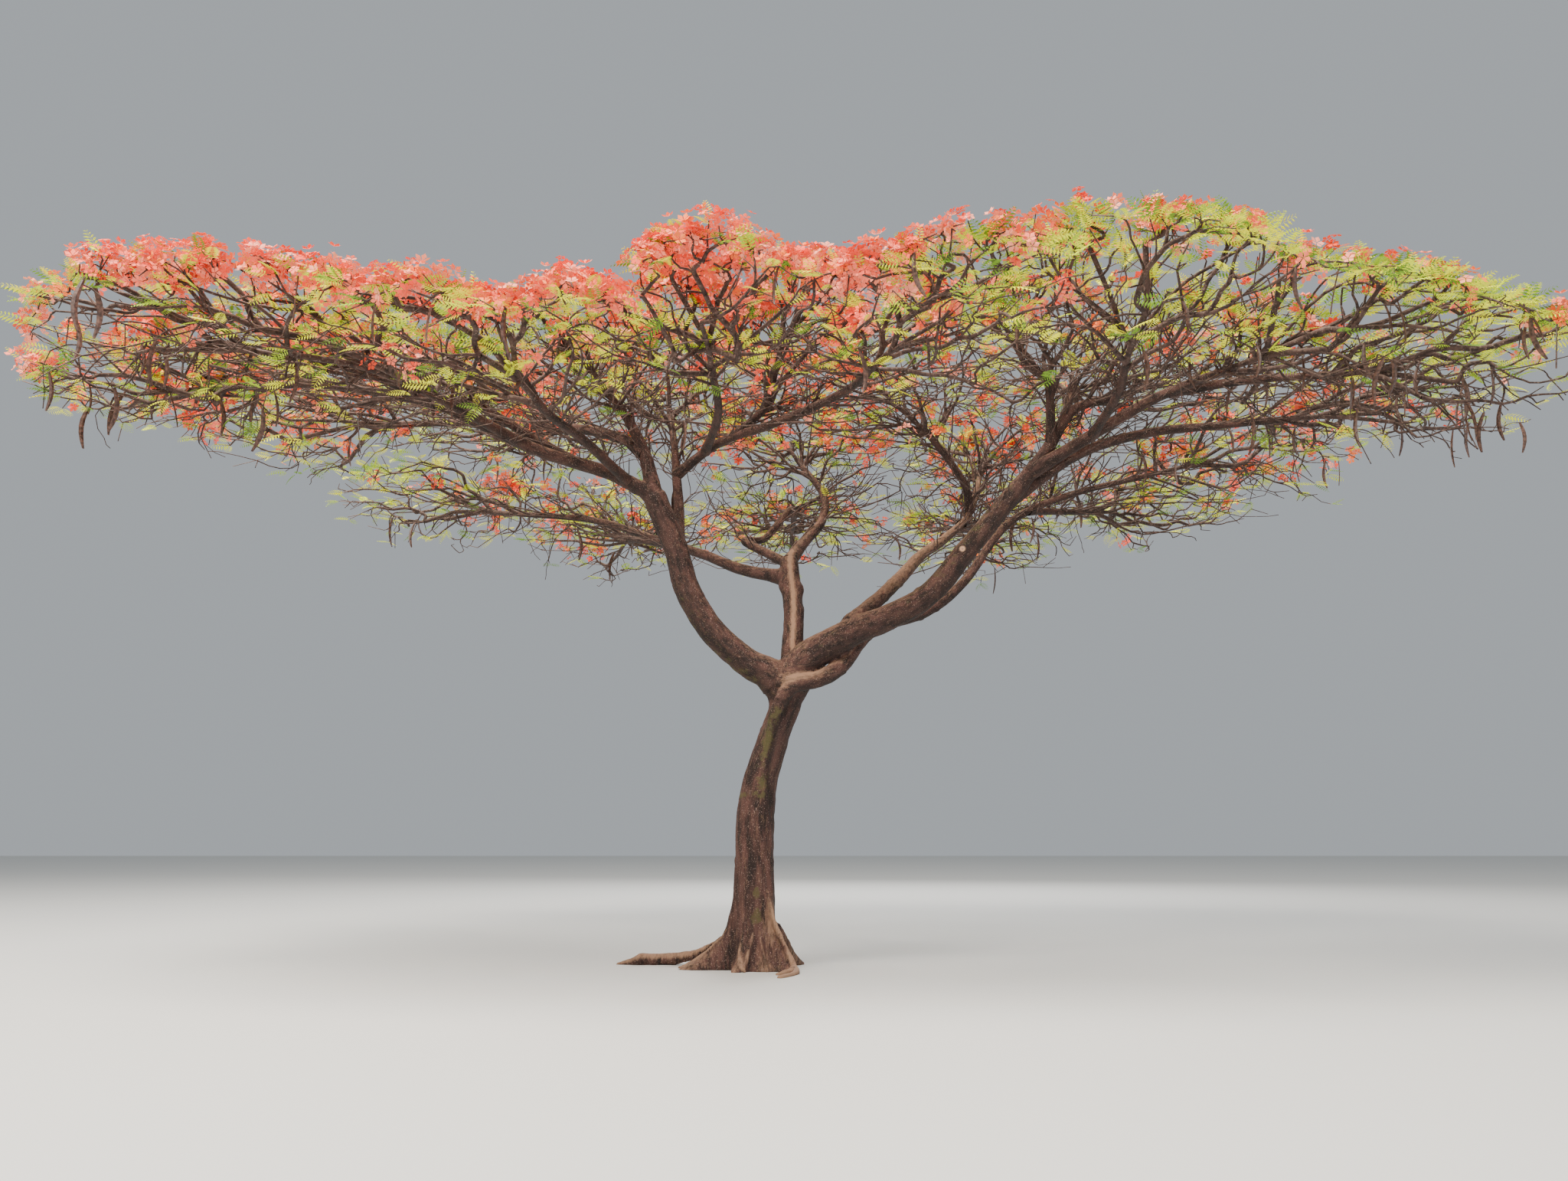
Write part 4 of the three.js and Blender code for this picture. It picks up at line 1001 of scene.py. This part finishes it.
            wanted[k] = (at, instead if rng.random() < 0.60 else "bare")
    wanted.sort(key=lambda row: np.linalg.norm(row[0] - growth.at[0]))
    for at, ending in wanted:
        parent = int(growth.offers(at, *FINE_COSTS)[0])
        start = growth.at[parent]
        length = np.linalg.norm(at - start)
        if length > BOWED_LENGTH:
            bow = growth.heading[parent] * 0.20 * length + UP * rng.uniform(-0.06, 0.02) * length
            sag = rng.normal(0, 0.04, 3) * length
            parent = growth.add(start + (at - start) * 0.36 + bow * 0.5 + sag, parent)
            parent = growth.add(start + (at - start) * 0.70 + bow * 0.35 - sag * 0.4, parent)
        node = growth.add(at, parent)
        tips.append((at, growth.heading[node], ending, number))
        growth.tips[node] += 1
    for i in range(len(growth.at) - 1, 0, -1):
        if growth.parent[i] >= 0:
            growth.tips[growth.parent[i]] += growth.tips[i]
    heads = np.array(growth.tips, float)
    thickness = np.minimum(TWIG_THICKEST, TWIG_TIP * np.maximum(heads, 1) ** TWIG_GROWTH)
    for i in range(1, len(growth.at)):
        parent = growth.parent[i]
        if parent < 0 or heads[i] == 0:
            continue
        foot = min(thickness[parent], 1.3 * thickness[i])
        twig_rows.append((growth.at[parent], growth.at[i], growth.heading[parent], growth.heading[i],
                          foot, thickness[i]))
    hang = heart + np.array([0, 0.3 * spread, 0.15 * depth])
    spots = [i for i in range(4, len(growth.at)) if growth.parent[i] > 0 and heads[i] > 0
             and growth.at[i][1] < hang[1] and growth.at[i][2] < hang[2]]
    for _ in range(2 + 4 * mass["pods"]):
        i = spots[rng.integers(len(spots))]
        pod_roots.append((growth.at[i] * 0.6 + growth.at[growth.parent[i]] * 0.4, rng.uniform(0, 360)))


def twig_tubes(rows, rings, around):
    """Curved tapering tubes, one for each row: both ends, both headings and both radii."""
    starts, ends, lead, trail = [np.array([row[k] for row in rows]) for k in range(4)]
    thick = np.array([[row[4], row[5]] for row in rows])
    length = np.linalg.norm(ends - starts, axis=1, keepdims=True)
    shares = np.linspace(0, 1, rings)[:, None, None]
    pull_a, pull_b = starts + lead * length * 0.3, ends - trail * length * 0.3
    path = ((1 - shares) ** 3 * starts + 3 * (1 - shares) ** 2 * shares * pull_a
            + 3 * (1 - shares) * shares**2 * pull_b + shares**3 * ends)
    along = unit(np.gradient(path, axis=0))
    side = unit(np.cross(along, np.array([0.31, 0.27, 0.91])))
    up = np.cross(along, side)
    radius = thick[:, 0] + (thick[:, 1] - thick[:, 0]) * shares[:, :, 0]
    angle = np.arange(around) * 2 * math.pi / around
    ring = np.cos(angle)[:, None] * side[:, :, None] + np.sin(angle)[:, None] * up[:, :, None]
    vertices = (path[:, :, None] + radius[:, :, None, None] * ring).transpose(1, 0, 2, 3).reshape(-1, 3)
    faces = rings_to_faces(rings, around)[None] + (np.arange(len(rows)) * rings * around)[:, None, None]
    return vertices, faces.reshape(-1, 4)


# Hues: dark and mid brown, a pale for painted highlight, pale pores, and a near-black painted shade
twig_bark = shade_bark("young_twig_bark", ["#2c1d19", "#523c35", "#937a6d", "#7d6b60", "#221410"],
                       wear_and_highlight_share=0.8, moss_share=0.3, pore_mm=30)
foliage_nodes = [mass["name"] + "_foliage" for mass in masses]
# Each kind: its name, its radii from and to, and the rings and corners of its tubes
for name, above, up_to, rings, around in [("branches", 0.015, 1.0, 4, 6), ("branchlets", 0.0075, 0.015, 3, 4),
                                          ("twigs", 0.0, 0.0075, 2, 3)]:
    vertices, faces = twig_tubes([row for row in twig_rows if above < row[5] <= up_to], rings, around)
    twigs = make_mesh(name, vertices, faces.tolist())
    twigs.data.materials.append(twig_bark)
    # Painted highlight on the upper sides of the twigs
    mark(twigs.data, "wear", 0.75 * np.clip(numbers_of(twigs.data.vertex_normals, "vector", 3)[:, 2], 0, 1))
    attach(twigs, "root")
    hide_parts(*foliage_nodes)


# Leaf sprays: feathery twice-divided leaves, thin and soft. Each is a drooping stalk with pairs of leafy
# ribs, and every rib's fine leaflets are drawn as one pointed blade. Each spray has one green of its own.
LEAF_GREENS = ["#f2f414", "#d6e40c", "#a6c614", "#6f981c"]
LEAF_SIZES = (0.16, 0.27)
CLEAR_OF_BOX = 0.01


def scatter(name, templates, placings, materials):
    """One joined piece from small shapes: each placing is a template's number, a material's number, an
    origin and three axes with their lengths. Whatever would leave the solids' box is left off."""
    low, high = np.array(cad_box[0]) + CLEAR_OF_BOX, np.array(cad_box[1]) - CLEAR_OF_BOX
    all_vertices, all_faces, all_slots, first = [], [], [], 0
    for number, (corners, faces) in enumerate(templates):
        rows = [row for row in placings if row[0] == number]
        origins = np.array([row[2] for row in rows])
        axes = np.array([row[3] for row in rows])
        placed = origins[:, None] + np.einsum("vk,nkx->nvx", corners, axes)
        inside = ((placed > low) & (placed < high)).all(axis=(1, 2))
        placed = placed[inside]
        slots = np.array([row[1] for row in rows])[inside]
        shifts = first + np.arange(len(placed)) * len(corners)
        all_vertices.append(placed.reshape(-1, 3))
        for face in faces:
            all_faces += (np.array(face)[None] + shifts[:, None]).tolist()
            all_slots.append(slots)
        first += len(placed) * len(corners)
    piece = make_mesh(name, np.vstack(all_vertices), all_faces, smooth=False)
    for material in materials:
        piece.data.materials.append(material)
    piece.data.polygons.foreach_set("material_index", np.concatenate(all_slots).astype(np.int32))
    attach(piece, "root")
    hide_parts(*foliage_nodes)


def soft_materials(name, codes, ior, vein_size, strength, distance):
    """Thin soft blades, one plain colour for each material: half matt, with fine veins or crinkles, in
    metres of real size, that break up the light."""
    made = []
    for k, code in enumerate(codes):
        material, shader = new_material(name + "_" + "abcde"[k], 0.65, code)
        shader.inputs["IOR"].default_value = ior
        place = add(material, "ShaderNodeTexCoord").outputs["Object"]
        veins = add(material, "ShaderNodeTexNoise", {"Vector": place, "Scale": 1 / vein_size, "Detail": 2.0})
        veins = veins.outputs["Fac"]
        uneven = add(material, "ShaderNodeMapRange", {"Value": veins, "To Min": 0.55, "To Max": 0.75})
        ripple = add(material, "ShaderNodeBump", {"Height": veins, "Strength": strength,
                                                  "Distance": distance})
        join(material, shader, Roughness=uneven.outputs["Result"], Normal=ripple.outputs["Normal"])
        made.append(material)
    return made


# How far a blade leans towards the leaf's tip, as a share of its length
AHEAD = 0.45


def feather(pairs, droop):
    """A leaf one metre long: a stalk in three pieces and pairs of folded blades."""
    corners, faces = [], []
    for k in range(3):
        near, far = k / 3, (k + 1) / 3
        base = len(corners)
        corners += [[near, -0.006, -droop * near * near], [near, 0.006, -droop * near * near],
                    [far, 0.005, -droop * far * far], [far, -0.005, -droop * far * far]]
        faces.append([base, base + 1, base + 2, base + 3])
    for k in range(pairs):
        share = 0.12 + 0.86 * k / (pairs - 1)
        reach = 0.27 * math.sin(math.pi * (0.22 + 0.68 * share)) + 0.02
        for hand in (-1, 1):
            base = len(corners)
            height = -droop * share * share
            corners += [[share, hand * 0.004, height],
                        [share + reach * (AHEAD * 0.45 - 0.13), hand * reach * 0.52, height - 0.02],
                        [share + reach * AHEAD, hand * reach, height - 0.28 * reach],
                        [share + reach * (AHEAD * 0.55 + 0.13), hand * reach * 0.48, height - 0.05 * reach]]
            faces.append([base, base + 1, base + 2])
            faces.append([base, base + 2, base + 3])
    return np.array(corners), faces


def random_axes(heading, roll, size):
    """Axes for a shape that lies along a heading, turned about it by roll, at a size."""
    side = unit(np.cross(UP, heading) + 1e-6)
    up = np.cross(heading, side)
    c, s = math.cos(roll), math.sin(roll)
    return np.array([heading, side * c + up * s, up * c - side * s]) * size


rng = np.random.default_rng(7)
feathers = [feather(8, 0.16), feather(8, 0.34), feather(7, 0.05)]
leaf_rows = []
for at, heading, ending, number in tips:
    if ending == "bare" or (ending == "flower" and rng.random() > 0.25):
        continue
    count = 1 if ending == "flower" else 2
    green = min(3, int(rng.random() ** 1.4 * 4))
    for k in range(count):
        way = turned(heading, (k - (count - 1) / 2) * 1.15 + rng.normal(0, 0.35))
        way = unit(np.array([way[0], way[1], 0.35 * way[2] + rng.uniform(0.0, 0.35)]))
        size = rng.uniform(*LEAF_SIZES)
        leaf_rows.append((int(rng.integers(3)), green if rng.random() < 0.8 else (green + 1) % 4, at,
                          random_axes(way, rng.normal(0, 0.35), size)))
half = len(leaf_rows) // 2
leaf_materials = soft_materials("soft_leaf_green", LEAF_GREENS, ior=1.40, vein_size=0.006, strength=0.25,
                                distance=0.002)
scatter("leaves_left", feathers, leaf_rows[:half], leaf_materials)
scatter("leaves_right", feathers, leaf_rows[half:], leaf_materials)


# Blossom: loose heads of five-petalled flowers, 9 to 13 cm across, coral to orange-red. Petals are thin and
# crinkled, and grow on short stalks round the ends of twigs. Each head has one red of its own.
PETAL_REDS = ["#ff7d60", "#fb6247", "#ff9a7e", "#f2502f", "#fb7a36"]
# How often each red comes: in the light, and in the crown's back, where deeper orange-reds are painted shade
LIT_SHARES, SHADED_SHARES = [0.34, 0.28, 0.20, 0.12, 0.06], [0.12, 0.26, 0.06, 0.26, 0.30]
FLOWER_SIZES = (0.09, 0.13)


def flower(lift):
    """A flower one metre across: five petals, each folded along its middle."""
    corners, faces = [], []
    for k in range(5):
        turn = 2 * math.pi * k / 5
        c, s = math.cos(turn), math.sin(turn)
        base = len(corners)
        for out, wide, up in [(0.04, 0, 0), (0.34, -0.19, lift * 0.5), (0.52, 0, lift),
                              (0.34, 0.19, lift * 0.5)]:
            corners.append([c * out - s * wide, s * out + c * wide, up])
        faces.append([base, base + 1, base + 2])
        faces.append([base, base + 2, base + 3])
    return np.array(corners), faces


flowers_made = [flower(0.12), flower(0.26), flower(-0.08)]
bloom_rows = []
for at, heading, ending, number in tips:
    if ending != "flower":
        continue
    shaded = masses[number]["heart"][1] > 0.5
    red = int(rng.choice(5, p=SHADED_SHARES if shaded else LIT_SHARES))
    for _ in range(int(rng.integers(6, 10))):
        way = unit(rng.normal(0, 1, 3) + np.array([0, 0, 0.9]) + 0.5 * heading)
        offset = way * rng.uniform(0.04, 0.17)
        up_way = unit(way + UP * 0.5)
        side = unit(np.cross(up_way, rng.normal(0, 1, 3)))
        axes = np.array([side, np.cross(up_way, side), up_way]) * rng.uniform(*FLOWER_SIZES)
        shade = red if rng.random() < 0.8 else int(rng.integers(5))
        bloom_rows.append((int(rng.integers(3)), shade, at + offset, axes))
half = len(bloom_rows) // 2
petal_materials = soft_materials("crinkled_petal_red", PETAL_REDS, ior=1.38, vein_size=0.010,
                                 strength=0.3, distance=0.003)
scatter("blossom_left", flowers_made, bloom_rows[:half], petal_materials)
scatter("blossom_right", flowers_made, bloom_rows[half:], petal_materials)


# Pods: long flat pods, 34 to 50 cm, of dark brown woody shell. They hang from the twigs all year.
POD_SIZES = (0.34, 0.5)
POD_RINGS = 7


def pod_shape():
    """A pod one metre long that hangs down: a flat blade with a thick edge, bowed a little."""
    corners = []
    for k in range(POD_RINGS):
        down = k / (POD_RINGS - 1)
        wide = 0.055 * math.sin(math.pi * min(0.94, 0.10 + 0.84 * down)) ** 0.5
        bow = 0.10 * math.sin(math.pi * down)
        corners += [[bow - wide, 0, -down], [bow, -0.014, -down], [bow + wide, 0, -down], [bow, 0.014, -down]]
    faces = rings_to_faces(POD_RINGS, 4).tolist()
    faces += [[0, 1, 2, 3], [(POD_RINGS - 1) * 4 + i for i in (3, 2, 1, 0)]]
    return np.array(corners), faces


# Dry shell: two browns in 3 cm clouds where the seeds bulge, with a faint shine that is uneven
pod_material, shader = new_material("dry_pod_shell", 0.5)
place = add(pod_material, "ShaderNodeTexCoord").outputs["Object"]
bulges = add(pod_material, "ShaderNodeTexNoise", {"Vector": place, "Scale": 1 / 0.03, "Detail": 3.0})
bulges = bulges.outputs["Fac"]
shell = add(pod_material, "ShaderNodeValToRGB", {"Fac": bulges}, [(0.35, "#33211b"), (0.7, "#6b4c40")])
uneven = add(pod_material, "ShaderNodeMapRange", {"Value": bulges, "To Min": 0.38, "To Max": 0.62})
ripple = add(pod_material, "ShaderNodeBump", {"Height": bulges, "Strength": 0.4, "Distance": 0.004})
join(pod_material, shader, Base_Color=shell.outputs["Color"], Roughness=uneven.outputs["Result"],
     Normal=ripple.outputs["Normal"])
pod_rows = []
for at, turn in pod_roots:
    sway = rng.normal(0, 0.12, 2)
    down = unit(np.array([sway[0], sway[1], 1.0]))
    side = unit(np.cross(down, [math.cos(turn), math.sin(turn), 0.0]))
    pod_rows.append((0, 0, at, np.array([side, np.cross(down, side), down]) * rng.uniform(*POD_SIZES)))
scatter("pods", [pod_shape()], pod_rows, [pod_material])


# Floor, light and camera: a plain pale studio with a matt floor, one large lamp like a high sun in haze at
# the front left, weak lamps at the right and behind, and the camera where the tree was seen from.
FLOOR_HALF = 80.0
SKY_STRENGTH = 0.55
floor_corners = np.array([[-1, -1, 0], [1, -1, 0], [1, 1, 0], [-1, 1, 0]]) * FLOOR_HALF
floor = make_mesh("floor", floor_corners, [[0, 1, 2, 3]], smooth=False)
floor_material, _ = new_material("matt_floor", 0.9, "#d9d8d4")
floor.data.materials.append(floor_material)

world = bpy.data.worlds.new("studio")
bpy.context.scene.world = world
world.use_nodes = True
sky = world.node_tree.nodes["Background"]
sky.inputs["Color"].default_value = linear("#dfe6ec")
sky.inputs["Strength"].default_value = SKY_STRENGTH


def add_light(name, place, aim, size, power, code):
    """A soft square lamp that faces a point."""
    lamp = bpy.data.lights.new(name, "AREA")
    lamp.size = size
    lamp.energy = power
    lamp.color = linear(code)[:3]
    holder = bpy.data.objects.new(name, lamp)
    holder.location = place
    holder.rotation_euler = (Vector(aim) - Vector(place)).to_track_quat("-Z", "Y").to_euler()
    bpy.context.scene.collection.objects.link(holder)


add_light("key", (-9, -15, 26), (0, 0, 5), 14, 23500, "#fff8ee")
add_light("fill", (18, -18, 9), (0, 0, 5), 12, 1500, "#eef4ff")
add_light("back", (4, 22, 16), (0, 0, 6), 12, 4000, "#ffffff")

CAMERA_TILT = 11.8
lens = bpy.data.cameras.new("camera")
lens.sensor_width = 36.0
lens.lens = 36.0 * 1536 / 2048
lens.clip_end = 400
camera = bpy.data.objects.new("camera", lens)
camera.location = SEEN_FROM
camera.rotation_euler = (math.radians(90 + CAMERA_TILT), 0, 0)
bpy.context.scene.collection.objects.link(camera)
bpy.context.scene.camera = camera
